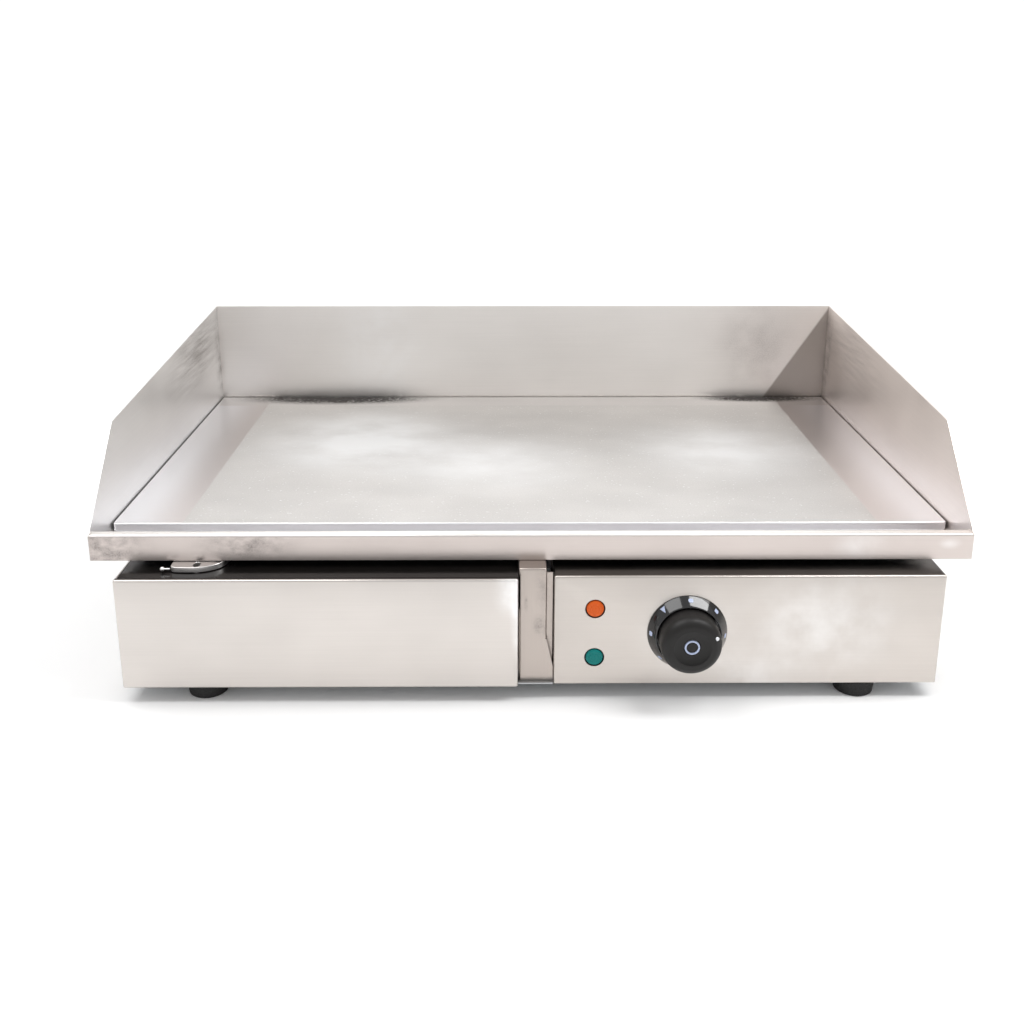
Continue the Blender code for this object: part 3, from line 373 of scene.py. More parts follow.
def brushed_stainless(name, colour, roughness, along, grime_and_shade=(), painted_highlights=(), top_fold_shade=None, cloud=0.04):
    """Cold-rolled stainless sheet, belt-brushed along one axis and wiped by hand: faint long streaks,
    a soft cloudy sheen, painted highlights where the sheet catches light, and grease and grinding dust
    rubbed into the grain.

    A smear is (point, reach, stretch, amount, grain size) in the grime colour; some callers use it for
    painted shade. A painted highlight is (point, reach, stretch, amount), mixed towards white. The
    shaded top is (front, top, amount): painted shade, near black, on the top fold behind the front.
    The streaks are drawn wider than a 180-grit belt leaves them, so that they show at arm's length.
    """
    steel = bpy.context.scene.griddle_steel
    made, tree, shader = new_material(name, colour, roughness, metallic=1.0)
    fine = steel.grain_spacing
    size = [STREAK_LENGTH * fine if axis == along else fine for axis in "XYZ"]
    streaks = pattern(tree, size, 0.975, 1.0, detail=2.0, contrast=0.2)
    clouds = pattern(tree, (110 * MM, 110 * MM, 70 * MM), 1 - cloud, 1.0, detail=2.0)
    base = tinted(tree, colour, product(tree, streaks, clouds), 1.0, blend="MULTIPLY")
    # Painted highlights: soft patches mixed towards white where the sheet catches light.
    for point, reach, stretch, amount in painted_highlights:
        patchy = pattern(tree, (24 * MM,) * 3, 0.35, 1.0, detail=3.0)
        near = near_point(tree, point, reach, stretch)
        base = tinted(tree, base, WHITE, product(tree, near, patchy, amount))
    sheen = pattern(tree, (60 * MM,) * 3, roughness - 0.02, roughness + 0.03, detail=2.0)
    # Each smear mixes in the grime colour: rubbed-in grease and dust, or painted shade where the caller
    # places it in shade.
    for point, reach, stretch, amount, blotch in grime_and_shade:
        rub = pattern(tree, blotch, 0.0, 1.0, detail=6.0, contrast=0.2, middle=0.47)
        dust = pattern(tree, (1.2 * MM,) * 3, 0.55, 1.0, detail=2.0)
        spot = product(tree, near_point(tree, point, reach, stretch), rub, dust, amount)
        base = tinted(tree, base, steel.grime_and_shade_colour, spot)
        rougher = add_node(tree, "ShaderNodeMath", {0: spot, 1: 0.2, 2: sheen}, operation="MULTIPLY_ADD")
        sheen = rougher.outputs[0]
    # Painted shade: the top fold behind the front goes near black, as it lies in the shade of the parts
    # above.
    if top_fold_shade:
        front, top, amount = top_fold_shade
        behind = past(tree, (0, 1, 0), front + 1.5 * MM, front + 3 * MM)
        top_fold_shade_mask = product(tree, behind, past(tree, (0, 0, 1), top - 2 * MM, top - 1 * MM), amount)
        base = tinted(tree, base, linear("1F1C1A"), top_fold_shade_mask)
    tree.links.new(base, shader.inputs["Base Color"])
    tree.links.new(sheen, shader.inputs["Roughness"])
    bumped(tree, shader, streaks, 0.02 * MM, 0.03)
    return made


def ground_steel_plate():
    """Low-carbon plate, surface-ground across its width: bright, cloudy and grainy where it cooks, with
    painted highlights and glints mixed in; smoother side margins, which a painted reflection of the
    side walls lightens towards the walls; and a lighter band with dark grinding dust along the back edge.
    """
    plate = bpy.context.scene.griddle_plate_look
    made, tree, shader = new_material("surface_ground_steel_plate", plate.zone_colour, 0.42, metallic=1.0)
    across, back = (1, 0, 0), (0, 1, 0)
    inner, blend = PLATE_HIGH.x - plate.margin_width, 0.8 * MM
    margin = past(tree, across, inner - blend, inner + blend, centred=True)
    scratch = (26 * MM, 0.9 * MM, 0.9 * MM)
    grain = pattern(tree, scratch, 0.95, 1.0, detail=4.0, contrast=0.2)
    speckle = pattern(tree, (1.3 * MM, 1.1 * MM, 1.1 * MM), 0.93, 1.0, detail=3.0, contrast=0.12)
    clouds = pattern(tree, (90 * MM, 60 * MM, 60 * MM), 0.93, 1.0, detail=3.0, contrast=0.13)
    zone = product(tree, grain, speckle, clouds)
    ground = tinted(tree, plate.zone_colour, zone, 1.0, blend="MULTIPLY")
    # Painted highlights: cloudy patches mixed towards white.
    highlight_patches = ((-0.17, 0.08, 0.16, 1.3), (-0.04, 0.01, 0.14, 0.8), (0.2, 0.05, 0.14, 0.9))
    for x, y, reach, amount in highlight_patches:
        near = near_point(tree, (x, y, PLATE_HIGH.z), reach, (1, 1.1, 1))
        patch = (60 * MM, 42 * MM, 40 * MM)
        patchy = pattern(tree, patch, 0.4, 1.0, detail=4.0, contrast=0.2, middle=0.45)
        ground = tinted(tree, ground, WHITE, product(tree, near, patchy, amount))
    # Painted glints: scattered specks mixed towards white.
    glint_specks = pattern(tree, (2.2 * MM,) * 3, 0.0, 0.6, detail=0.0, contrast=0.02, middle=0.8)
    ground = tinted(tree, ground, WHITE, glint_specks)
    # Painted reflection of the side walls: each margin grows lighter towards its wall.
    side_shade = past(tree, across, inner, PLATE_HIGH.x - 12 * MM, centred=True)
    smooth = tinted(tree, linear("DED7D5"), plate.margin_reflection_colour, side_shade)
    base = tinted(tree, ground, smooth, margin)
    strip = past(tree, back, PLATE_HIGH.y - 42 * MM, PLATE_HIGH.y - 36 * MM)
    base = tinted(tree, base, linear("E3DFDD"), product(tree, strip, 0.6))
    for x, reach in ((-0.225, 0.14), (0.285, 0.09)):
        near = near_point(tree, (x, PLATE_HIGH.y - 9 * MM, PLATE_HIGH.z), reach, (1, 4.5, 1))
        dust = pattern(tree, (3.4 * MM, 2 * MM, 2 * MM), 0.25, 1.0, detail=6.0, contrast=0.12, middle=0.44)
        base = tinted(tree, base, linear("332E2C"), product(tree, near, dust, 2.2))
    front = past(tree, (0, -1, 0), -PLATE_LOW.y - 0.9 * MM, -PLATE_LOW.y - 0.4 * MM)
    base = tinted(tree, base, linear("FBFBFF"), front)
    tree.links.new(base, shader.inputs["Base Color"])
    rough = pattern(tree, scratch, 0.38, 0.5, detail=3.0)
    eased = add_node(tree, "ShaderNodeMix", {0: margin, 2: rough, 3: 0.3}, data_type="FLOAT").outputs[0]
    tree.links.new(eased, shader.inputs["Roughness"])
    bumped(tree, shader, product(tree, grain, speckle), 0.03 * MM, 0.25)
    return made


def zinc_plated_steel():
    """Mild steel sheet with a dipped zinc coat: cool grey with a faint spangle."""
    found = bpy.data.materials.get("zinc_plated_mild_steel")
    if found:
        return found
    steel = bpy.context.scene.griddle_steel
    made, tree, shader = new_material("zinc_plated_mild_steel", steel.inner_colour, 0.42, metallic=1.0)
    spangle = pattern(tree, (9 * MM, 9 * MM, 9 * MM), 0.88, 1.0, detail=1.0)
    tree.links.new(tinted(tree, steel.inner_colour, spangle, 1.0, "MULTIPLY"), shader.inputs["Base Color"])
    tree.links.new(pattern(tree, (6 * MM,) * 3, 0.36, 0.5, detail=2.0), shader.inputs["Roughness"])
    return made


def moulded(name, colour, roughness, grain_mm=0.6, relief=0.15, spread=0.1, metallic=0.0, **sockets):
    """A moulded, cast or fired surface: even colour with a fine texture in its gloss and relief."""
    made, tree, shader = new_material(name, colour, roughness, metallic, **sockets)
    size = (grain_mm * MM,) * 3
    shade = pattern(tree, (14 * MM,) * 3, 1 - spread, 1.0, detail=3.0)
    tree.links.new(tinted(tree, colour, shade, 1.0, "MULTIPLY"), shader.inputs["Base Color"])
    gloss = pattern(tree, size, roughness * 0.85, min(1.0, roughness * 1.2), detail=2.0)
    tree.links.new(gloss, shader.inputs["Roughness"])
    bumped(tree, shader, pattern(tree, size, 0.0, 1.0, detail=2.0), 0.02 * MM, relief)
    return made


# Cooking surface


class GRIDDLE_OT_cooking_plate(bpy.types.Operator):
    """Make the ground steel cooking plate"""

    bl_idname = "griddle.cooking_plate"
    bl_label = "Cooking Plate"

    def execute(self, context):
        look = context.scene.griddle_plate_look
        low = PLATE_LOW - Vector((PLATE_LAP, 0, 0))
        high = PLATE_HIGH + Vector((PLATE_LAP, -PLATE_GAP, 0))
        thickness = PLATE_HIGH.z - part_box("left_support_rail")[1].z - 0.3 * MM
        r = look.corner_radius
        outline = []
        turns = (-90, 0, 90, 180)
        corners = ((high.x, low.y), (high.x, high.y), (low.x, high.y), (low.x, low.y))
        for (x, y), start in zip(corners, turns):
            centre = (x - r if x > 0 else x + r, y + r if y == low.y else y - r)
            outline += arc(centre, r, start, start + 90, 6)
        mesh = extruded("cooking_plate", outline, high.z - thickness, high.z)
        metal = ground_steel_plate()
        piece = new_piece("cooking_plate", mesh, BODY, metal, ["griddle_plate"])
        edge_break(piece, look.edge_radius, 5)
        studs()
        return {"FINISHED"}


def studs():
    """The four threaded studs welded under the plate, which carry the element clamps."""
    pitch, depth, r = 1 * MM, 0.35 * MM, 2.7 * MM
    foot, top = PLATE_LOW.z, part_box("left_support_rail")[1].z
    for end in CORNERS:
        low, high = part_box(f"{end}_clamp_nut")
        centre = (low + high) / 2
        profile = [(0, top), (r, top)]
        for turn in range(int((top - foot) / pitch) - 1):
            height = top - turn * pitch
            profile += [(r, height - 0.1 * pitch), (r - depth, height - pitch / 2)]
        profile += [(r, foot + pitch / 2), (r - 0.5 * MM, foot), (0, foot)]
        mesh = lathe(f"{end}_stud", profile, 24)
        place = (centre.x, centre.y, 0)
        new_piece(f"{end}_stud", mesh, BODY, zinc_plated_steel(), location=place)


class GRIDDLE_OT_splash_walls(bpy.types.Operator):
    """Make the rear and side splash walls"""

    bl_idname = "griddle.splash_walls"
    bl_label = "Splash Walls"

    def execute(self, context):
        steel = context.scene.griddle_steel
        top, back = PLATE_HIGH.z, SIDE_HIGH.y
        streaky = (60 * MM, 60 * MM, 5 * MM)
        fine = (14 * MM,) * 3
        broad = (300 * MM,) * 3
        # Per side: tone, inner face, amount of painted shade over the upper back, narrowing of the painted
        # shade in the back corner, and amount of rubbed-in smears. The two tones differ to stand in for the
        # different light that each wall reflects, the right one warmer.
        sides = (
            ("left", "F6F5F4", -SIDE_LOW.x, 0.42, 2.6, 0.9),
            ("right", "F9F0EB", SIDE_LOW.x, 0.0, 2.2, 0.5),
        )
        for side, tone, inner, shade, narrow, rubbed in sides:
            # The first is rubbed-in grease in a fan; the second is painted shade in the back corner; the
            # third is painted shade over the upper back.
            grime_and_shade = [
                ((inner, back - 95 * MM, top + 78 * MM), 0.15, (90, 1, 2.8), rubbed, streaky),
                ((inner, back, top + 50 * MM), 0.08, (60, narrow, 0.8), 0.95, fine),
                ((inner, back - 10 * MM, top + 110 * MM), 0.2, (150, 1, 1.8), shade, broad),
            ]
            metal = brushed_stainless(f"{side}_wall_brushed_304", linear(tone), 0.36, "Y", grime_and_shade)
            sheet_piece(f"{side}_splash_wall", BODY, metal, steel.broken_edge)
        # Painted highlight: a soft lighter zone on the rear wall's inner face. The smear below darkens a soft
        # grey patch towards the right corner.
        painted_highlights = [((REAR_LOW.x + 190 * MM, REAR_LOW.y, top + 60 * MM), 0.07, (1, 60, 0.5), 0.35)]
        blur = (REAR_HIGH.x - 85 * MM, REAR_LOW.y, top + 60 * MM)
        grime_and_shade = [(blur, 0.07, (1, 60, 0.8), 0.4, (40 * MM,) * 3)]
        rear = brushed_stainless("rear_wall_brushed_304", steel.wall_colour, 0.36, "X", grime_and_shade, painted_highlights)
        sheet_piece("rear_splash_wall", BODY, painted_corner_shadow(rear), steel.broken_edge)
        return {"FINISHED"}


def painted_corner_shadow(metal):
    """Paints the shadow that the right splash wall casts on the rear wall's right corner. It ends on a
    slanted straight edge and lies on the inner face only.
    """
    tree = metal.node_tree
    lean = 0.654  # run over rise of the slanted edge
    begin = REAR_HIGH.x - 74 * MM - lean * PLATE_HIGH.z
    inside = past(tree, (0, -1, 0), -REAR_LOW.y - 0.7 * MM, -REAR_LOW.y - 0.4 * MM)
    shadowed_side = past(tree, (1, 0, -lean), begin, begin + 4 * MM)
    return overlaid(metal, linear("9F9893"), product(tree, shadowed_side, inside, 0.92))


class GRIDDLE_OT_apron_and_trough(bpy.types.Operator):
    """Make the folded front apron and the grease trough behind it"""

    bl_idname = "griddle.apron_and_trough"
    bl_label = "Apron and Trough"

    def execute(self, context):
        steel = context.scene.griddle_steel
        middle = (APRON_LOW.z + APRON_HIGH.z) / 2
        left, face = APRON_LOW.x, APRON_LOW.y
        speckled = (9 * MM, 9 * MM, 6 * MM)
        grime_and_shade = [
            ((left + 8 * MM, face, middle), 0.055, (1, 1, 1.2), 1.0, speckled),
            ((left + 128 * MM, face, middle + 2 * MM), 0.055, (1, 1, 2.5), 0.8, speckled),
        ]
        # Painted highlights: two lighter spots towards the apron's right end.
        painted_highlights = [
            ((left + 637 * MM, face, middle), 0.03, (1, 1, 1.6), 0.35),
            ((left + 711 * MM, face, middle + 3 * MM), 0.012, (1, 1, 1.8), 0.5),
        ]
        metal = brushed_stainless("apron_brushed_304", steel.apron_colour, 0.3, "X", grime_and_shade, painted_highlights)
        sheet_piece("front_apron", BODY, lip_highlight(metal), steel.broken_edge)
        trough = brushed_stainless("trough_brushed_304", linear("F4F2F2"), 0.36, "X")
        sheet_piece("grease_trough", BODY, trough, steel.broken_edge)
        return {"FINISHED"}


def lip_highlight(metal):
    """Paints a highlight along the apron's top fold, brightening it towards near white."""
    lip = past(metal.node_tree, (0, 0, 1), APRON_HIGH.z - 1.6 * MM, APRON_HIGH.z - 0.9 * MM)
    return overlaid(metal, linear("FFFBF7"), lip)


class GRIDDLE_OT_drain_spout(bpy.types.Operator):
    """Make the bent drain spout and its wire pin"""

    bl_idname = "griddle.drain_spout"
    bl_label = "Drain Spout"

    def execute(self, context):
        metal = brushed_stainless("spout_polished_304", linear("FFFCFA"), 0.3, "X")
        low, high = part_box("drain_spout")
        pin_low, pin_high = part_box("spout_pin")
        block = low.x + 4 * MM
        outline = [(block, high.y), (block, low.y + 1 * MM), (block + 17 * MM, low.y)]
        tongue = ((16, 1.5), (7, 7), (2, 14), (0, 22))  # millimetres in from the right and the front
        outline += [(high.x - inward * MM, low.y + behind * MM) for inward, behind in tongue]
        outline.append((high.x, high.y))
        path = softened([outline[-1], *outline, outline[0]], 5 * MM, 4)[1:-1]
        form = bmesh.new()
        rim = [form.verts.new((x, y, high.z)) for x, y in path]
        eye_x, eye_y = block + 21 * MM, low.y + 6.5 * MM
        eye_places = [(eye_x + 3 * MM * x, eye_y + 4.6 * MM * y) for x, y in arc((0, 0), 1, 0, 360, 32)[:-1]]
        eye = [form.verts.new((x, y, high.z)) for x, y in eye_places]
        for loop in (rim, eye):
            for start, end in zip(loop, loop[1:] + loop[:1]):
                form.edges.new((start, end))
        bmesh.ops.triangle_fill(form, edges=form.edges, use_beauty=True)
        thickened(form, list(form.faces), low.z - high.z)
        mesh = finished_mesh(form, "drain_spout_plate")
        spout = new_piece("drain_spout_plate", mesh, BODY, metal, ["drain_spout"])
        edge_break(spout, 2.0 * MM, 5)
        ball, wire = (pin_high.z - pin_low.z) / 2, 0.8 * MM
        length = block - 0.2 * MM - pin_low.x
        profile = [(ball * sin(t), ball - ball * cos(t)) for t in (pi * i / 14 for i in range(12))]
        profile += [(wire, ball * 1.95), (wire, length), (0, length)]
        place = (pin_low.x, (pin_low.y + pin_high.y) / 2, (pin_low.z + pin_high.z) / 2)
        pin = lathe("spout_ball_pin", profile, 32)
        turn = (0, radians(90), 0)
        new_piece("spout_ball_pin", pin, BODY, metal, ["spout_pin"], place, turn)
        return {"FINISHED"}


# Lower housing


class GRIDDLE_OT_housing(bpy.types.Operator):
    """Make the housing's panels, deck, post, base and inner sheets"""

    bl_idname = "griddle.housing"
    bl_label = "Housing"

    def execute(self, context):
        steel = context.scene.griddle_steel
        edge = steel.broken_edge
        side = brushed_stainless("side_panel_brushed_304", steel.wall_colour, 0.3, "Y")
        for node in ("left_side_panel", "right_side_panel"):
            sheet_piece(node, BODY, side, edge)
        rear = brushed_stainless("rear_panel_brushed_304", steel.wall_colour, 0.3, "X")
        sheet_piece("rear_panel", BODY, rear, edge)
        # Painted shade: the deck under the apron is given a near-black glossy sheet, standing in for the
        # shade it lies in.
        deck = moulded(
            "near_black_deck_shade", linear("161413"), 0.16, grain_mm=6, relief=0.02, Specular_IOR_Level=0.4
        )
        sheet_piece("drawer_bay_cover", BODY, deck, edge)
        low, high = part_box("centre_post")
        spot = (4 * MM,) * 3
        grime_and_shade = [
            ((low.x + 18 * MM, low.y, 0.065), 0.009, (1, 1, 0.7), 0.9, spot),
            ((low.x + 6 * MM, low.y, 0.084), 0.009, (4, 1, 1), 0.9, spot),
            # Painted shade: darkens the post's upper right, next to the control box.
            ((high.x - 8 * MM, low.y, 0.1), 0.03, (3, 1, 1), 0.5, spot),
        ]
        post = brushed_stainless("post_brushed_304", linear("BFB5AE"), 0.3, "Z", grime_and_shade)
        sheet_piece("centre_post", BODY, post, edge)
        post_return(post, low, high)
        zinc = zinc_plated_steel()
        inner = ("base_plate", "heat_bulkhead", "control_box_back", "heat_shield", "left_drawer_rail")
        for node in (*inner, "right_drawer_rail", "front_clamp_bar", "rear_clamp_bar"):
            sheet_piece(node, BODY, zinc, edge)
        for end in ("left", "right", "rear"):
            sheet_piece(f"{end}_support_rail", BODY, zinc, edge)
        for end in CORNERS:
            sheet_piece(f"{end}_clamp_nut", BODY, zinc, 0.5 * MM)
        return {"FINISHED"}


def post_return(metal, low, high):
    """The post's narrow return behind the slot beside the control box."""
    left, right = high.x - 5.3 * MM, high.x - 0.4 * MM
    near, far = low.y + 6 * MM, low.y + 7.2 * MM
    outline = [(left, near), (right, near), (right, far), (left, far)]
    mesh = extruded("post_return", outline, low.z + 2 * MM, high.z - 6 * MM)
    new_piece("post_return", mesh, BODY, metal)


class GRIDDLE_OT_control_box(bpy.types.Operator):
    """Make the folded control box cover"""

    bl_idname = "griddle.control_box"
    bl_label = "Control Box"

    def execute(self, context):
        steel = context.scene.griddle_steel
        low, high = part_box("control_box_cover")
        knob = (BEZEL_LOW + BEZEL_HIGH) / 2
        # Painted highlights: a light halo round the knob and two lighter patches lower down.
        painted_highlights = [
            ((knob.x, low.y, knob.z), 0.055, (1, 1, 1), 0.3),
            ((high.x - 100 * MM, low.y, 0.065), 0.09, (1, 1, 1.4), 0.4),
            ((high.x - 160 * MM, low.y, 0.02), 0.06, (1, 1, 1.6), 0.3),
        ]
        # Painted shade on the top fold behind the front.
        top_fold_shade = (low.y, high.z, 0.8)
        metal = brushed_stainless(
            "control_box_brushed_304", steel.box_colour, 0.3, "X", painted_highlights=painted_highlights, top_fold_shade=top_fold_shade, cloud=0.07
        )
        sheet_piece("control_box_cover", BODY, metal, steel.broken_edge)
        return {"FINISHED"}


class GRIDDLE_OT_grease_drawer(bpy.types.Operator):
    """Make the grease drawer's front and tray"""

    bl_idname = "griddle.grease_drawer"
    bl_label = "Grease Drawer"

    def execute(self, context):
        steel = context.scene.griddle_steel
        low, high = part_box("drawer_front")
        # Painted highlights down the drawer front's right end.
        painted_highlights = [
            ((high.x - 5 * MM, low.y, high.z - 10 * MM), 0.03, (1.6, 1, 1), 1.0),
            ((high.x, low.y, high.z - 30 * MM), 0.05, (6, 1, 1), 1.0),
        ]
        # Painted shade on the top fold behind the front.
        top_fold_shade = (low.y, high.z, 0.93)
        face = brushed_stainless(
            "drawer_front_brushed_304", steel.drawer_colour, 0.3, "X", painted_highlights=painted_highlights, top_fold_shade=top_fold_shade, cloud=0.06
        )
        sheet_piece("drawer_front", DRAWER, face, steel.broken_edge)
        tray = brushed_stainless("drawer_tray_brushed_304", steel.wall_colour, 0.3, "Y")
        sheet_piece("drawer_tray", DRAWER, tray, steel.broken_edge)
        return {"FINISHED"}


class GRIDDLE_OT_feet(bpy.types.Operator):
    """Make the four rubber feet and their screws"""

    bl_idname = "griddle.feet"
    bl_label = "Feet"

    def execute(self, context):
        rubber = moulded("moulded_black_nitrile_rubber", linear("171616"), 0.7, grain_mm=0.9, relief=0.3)
        zinc = zinc_plated_steel()
        shank = 2.4 * MM
        for end in CORNERS:
            low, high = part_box(f"{end}_foot")
            screw_low, screw_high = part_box(f"{end}_foot_screw")
            centre = (low + high) / 2
            top, top_radius = high.z, high.x - centre.x + 1 * MM
            recess = screw_high.x - centre.x + 2 * MM
            seat = screw_low.z + 2.7 * MM
            base = top_radius - 0.8 * MM
            outer = [(shank, top), (top_radius, top), (top_radius, top - 3 * MM), (base, 0)]
            outer += [(base - 4 * MM, 0), (recess, 0.8 * MM), (recess, seat), (shank, seat)]
            mesh = lathe(f"{end}_rubber_foot", softened(outer, 1.1 * MM), ring=True)
            place = (centre.x, centre.y, 0)
            new_piece(f"{end}_rubber_foot", mesh, BODY, rubber, [f"{end}_foot"], place)
            sheet_piece(f"{end}_foot_screw", BODY, zinc, 0.2 * MM)
        return {"FINISHED"}


# Controls


def flank_height(radius, rim, edge, height):
    """Height of the dial ring's bulging flank at a radius between its rim and its outer edge."""
    share = (radius - rim) / (edge - rim)
    return height * (1 - 0.85 * share - 0.10 * share**2)


class GRIDDLE_OT_dial_ring(bpy.types.Operator):
    """Make the glossy dial ring and its printed marks"""

    bl_idname = "griddle.dial_ring"
    bl_label = "Dial Ring"

    def execute(self, context):
        look = context.scene.griddle_controls
        centre = (BEZEL_LOW + BEZEL_HIGH) / 2
        edge, height = (BEZEL_HIGH.x - BEZEL_LOW.x) / 2, BEZEL_HIGH.y - BEZEL_LOW.y
        well = (DIAL_HIGH.x - DIAL_LOW.x) / 2 + 0.8 * MM
        rim = well + 1.4 * MM
        crown = height - 0.3 * MM
        flank = [rim + (edge - rim) * i / 8 for i in range(9)]
        outer = [(well, 2 * MM), (well, crown - 0.6 * MM), (well + 0.7 * MM, height)]
        outer += [(r, flank_height(r, rim, edge, crown)) for r in flank]
        outer += [(edge, 0), (5 * MM, 0), (5 * MM, 2 * MM)]
        mesh = lathe("dial_ring", softened(outer, 0.5 * MM, 4), 128, ring=True)
        gloss = moulded(
            "moulded_gloss_black_abs", look.bezel_colour, 0.1, grain_mm=5, relief=0.02, Coat_Weight=0.6
        )
        place = (centre.x, BEZEL_HIGH.y, centre.z)
        new_piece("dial_ring", mesh, BODY, gloss, ["knob_bezel"], place, FRONTWARD)
        ink = moulded("pad_printed_pale_ink", look.mark_colour, 0.35, grain_mm=0.8, relief=0.05)
        marks = dial_marks(look, rim, edge, crown)
        new_piece("dial_marks", marks, BODY, ink, location=place, rotation=FRONTWARD)
        return {"FINISHED"}


def dial_marks(look, rim, edge, crown):
    """Pads of ink on the flank: a triangle for off and a short bar for each of the other marks."""
    form = bmesh.new()
    ring = (rim + edge) / 2 + 0.6 * MM
    half, width = 1.1 * MM, 0.95 * MM
    bar = arc((half, 0), width, -90, 90, 6) + arc((-half, 0), width, 90, 270, 6)
    triangle = [(-2.2 * MM, 1.4 * MM), (0, -1.9 * MM), (2.2 * MM, 1.4 * MM)]
    lift = 0.25 * MM
    for index in range(look.mark_count):
        turn = look.off_turn + 2 * pi * index / look.mark_count
        outline = bar if index else triangle
        corners = []
        for across, out in outline:
            radius = ring + out
            angle = pi / 2 - turn - across / ring
            height = flank_height(radius, rim, edge, crown) + lift
            corners.append(form.verts.new((radius * cos(angle), radius * sin(angle), height)))
        thickened(form, [form.faces.new(corners)], -3 * lift)
    return finished_mesh(form, "dial_marks")


class GRIDDLE_OT_control_knob(bpy.types.Operator):
    """Make the dished knob with its pointer dot, insert and spindle"""

    bl_idname = "griddle.control_knob"
    bl_label = "Control Knob"

    def execute(self, context):
        look = context.scene.griddle_controls
        centre = (DIAL_LOW + DIAL_HIGH) / 2
        base = BEZEL_HIGH.y
        top = base - DIAL_LOW.y
        skirt = base - DIAL_HIGH.y
        r = (DIAL_HIGH.x - DIAL_LOW.x) / 2
        cap_low, cap_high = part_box("knob_cap")
        spindle_low, spindle_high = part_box("thermostat_spindle")
        clearance = 0.3 * MM
        insert = (cap_high.x - cap_low.x) / 2 + clearance
        seat = base - spindle_low.y + clearance
        hub = (spindle_high.x - spindle_low.x) / 2 + clearance
        floor, pocket = top - 3.2 * MM, 1.5 * MM
        land = insert + 1.5 * MM
        drop = 8.5 * MM  # from the top down to where the flank stands upright
        profile = [(0, floor - pocket), (insert, floor - pocket), (insert, floor), (land, floor)]
        profile += [(land + (r - 9 * MM - insert) * t, floor + 3 * MM * t**1.6) for t in (0.3, 0.55, 0.8)]
        profile += [(r - 10.5 * MM, top - 0.1 * MM), (r - 9 * MM, top)]
        profile += [(r - 8 * MM * (1 - sin(t)), top - drop * (1 - cos(t))) for t in (0.3, 0.6, 0.9, 1.2)]
        profile += [(r, top - drop), (r, skirt), (hub, skirt), (hub, seat), (0, seat)]
        mesh = lathe("dished_knob", softened(profile, 1.2 * MM, 6), 128)
        phenolic = moulded(
            "moulded_black_phenolic",
            look.knob_colour,
            0.42,
            grain_mm=0.5,
            relief=0.12,
            Specular_IOR_Level=0.35,
        )
        place = (centre.x, base, centre.z)
        new_piece("dished_knob", mesh, KNOB, phenolic, ["control_knob"], place, FRONTWARD)
        ink = bpy.data.materials["pad_printed_pale_ink"]
        ring_mesh(insert - 0.3 * MM, base - cap_high.y, base - cap_low.y, place, ink, phenolic)
        dome = [(0, 0.35 * MM), (1.5 * MM, 0.35 * MM), (1.7 * MM, -0.4 * MM)]
        dot = lathe("pointer_dot", softened(dome, 0.2 * MM), 32)
        out, turn = r - 3.9 * MM, look.pointer_turn
        spot = (centre.x + out * sin(turn), base - top + 1.1 * MM, centre.z + out * cos(turn))
        white = moulded("inlaid_white_enamel", linear("F4F6FA"), 0.3, relief=0.03, spread=0.03)
        new_piece("pointer_dot", dot, KNOB, white, location=spot, rotation=FRONTWARD)
        painted("thermostat_spindle", zinc_plated_steel())
        return {"FINISHED"}


def ring_mesh(rim, low, high, place, ink, phenolic):
    """The knob's round insert: a dark disc inside a raised pale ring."""
    inner = rim - 1.5 * MM
    disc = [(0, high - 0.7 * MM), (inner, high - 0.7 * MM), (inner, low), (0, low)]
    mesh = lathe("insert_disc", softened(disc, 0.15 * MM, 3), 64)
    new_piece("insert_disc", mesh, KNOB, phenolic, ["knob_cap"], place, FRONTWARD)
    ring = [(inner, low), (inner, high), (rim, high), (rim, low)]
    path = softened([ring[-1], *ring], 0.3 * MM, 3)[1:]
    mesh = lathe("insert_ring", path, 64, ring=True)
    new_piece("insert_ring", mesh, KNOB, ink, location=place, rotation=FRONTWARD)


class GRIDDLE_OT_pilot_lamps(bpy.types.Operator):
    """Make the two pilot lamps"""

    bl_idname = "griddle.pilot_lamps"
    bl_label = "Pilot Lamps"

    def execute(self, context):
        look = context.scene.griddle_controls
        nylon = moulded("moulded_dark_nylon", linear("26262A"), 0.5)
        for name, colour in (("orange", look.orange_colour), ("green", look.green_colour)):
            low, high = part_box(f"{name}_lamp_lens")
            centre = (low + high) / 2
            r, top = (high.x - low.x) / 2 - 0.5 * MM, high.y - low.y
            ring = 0.52 * r
            profile = [(0, top), (ring - 0.5 * MM, top - 0.1 * MM), (ring, top - 0.35 * MM)]
            profile += [(ring + 0.5 * MM, top - 0.2 * MM), (r - 1.2 * MM, top - 0.5 * MM)]
            profile += [(r, top - 1.3 * MM), (r, 0), (0, 0)]
            mesh = lathe(f"{name}_lens", softened(profile, 0.6 * MM), 96)
            lens = moulded(
                f"moulded_{name}_polycarbonate", colour, 0.3, grain_mm=2, relief=0.05, spread=0.12,
                Specular_IOR_Level=0.25,
            )
            place = (centre.x, high.y, centre.z)
            node = f"{name}_lamp_lens"
            new_piece(f"{name}_lens", mesh, BODY, lens, [node], place, FRONTWARD)
            painted(f"{name}_lamp_holder", nylon)
        return {"FINISHED"}


# Supply and heating


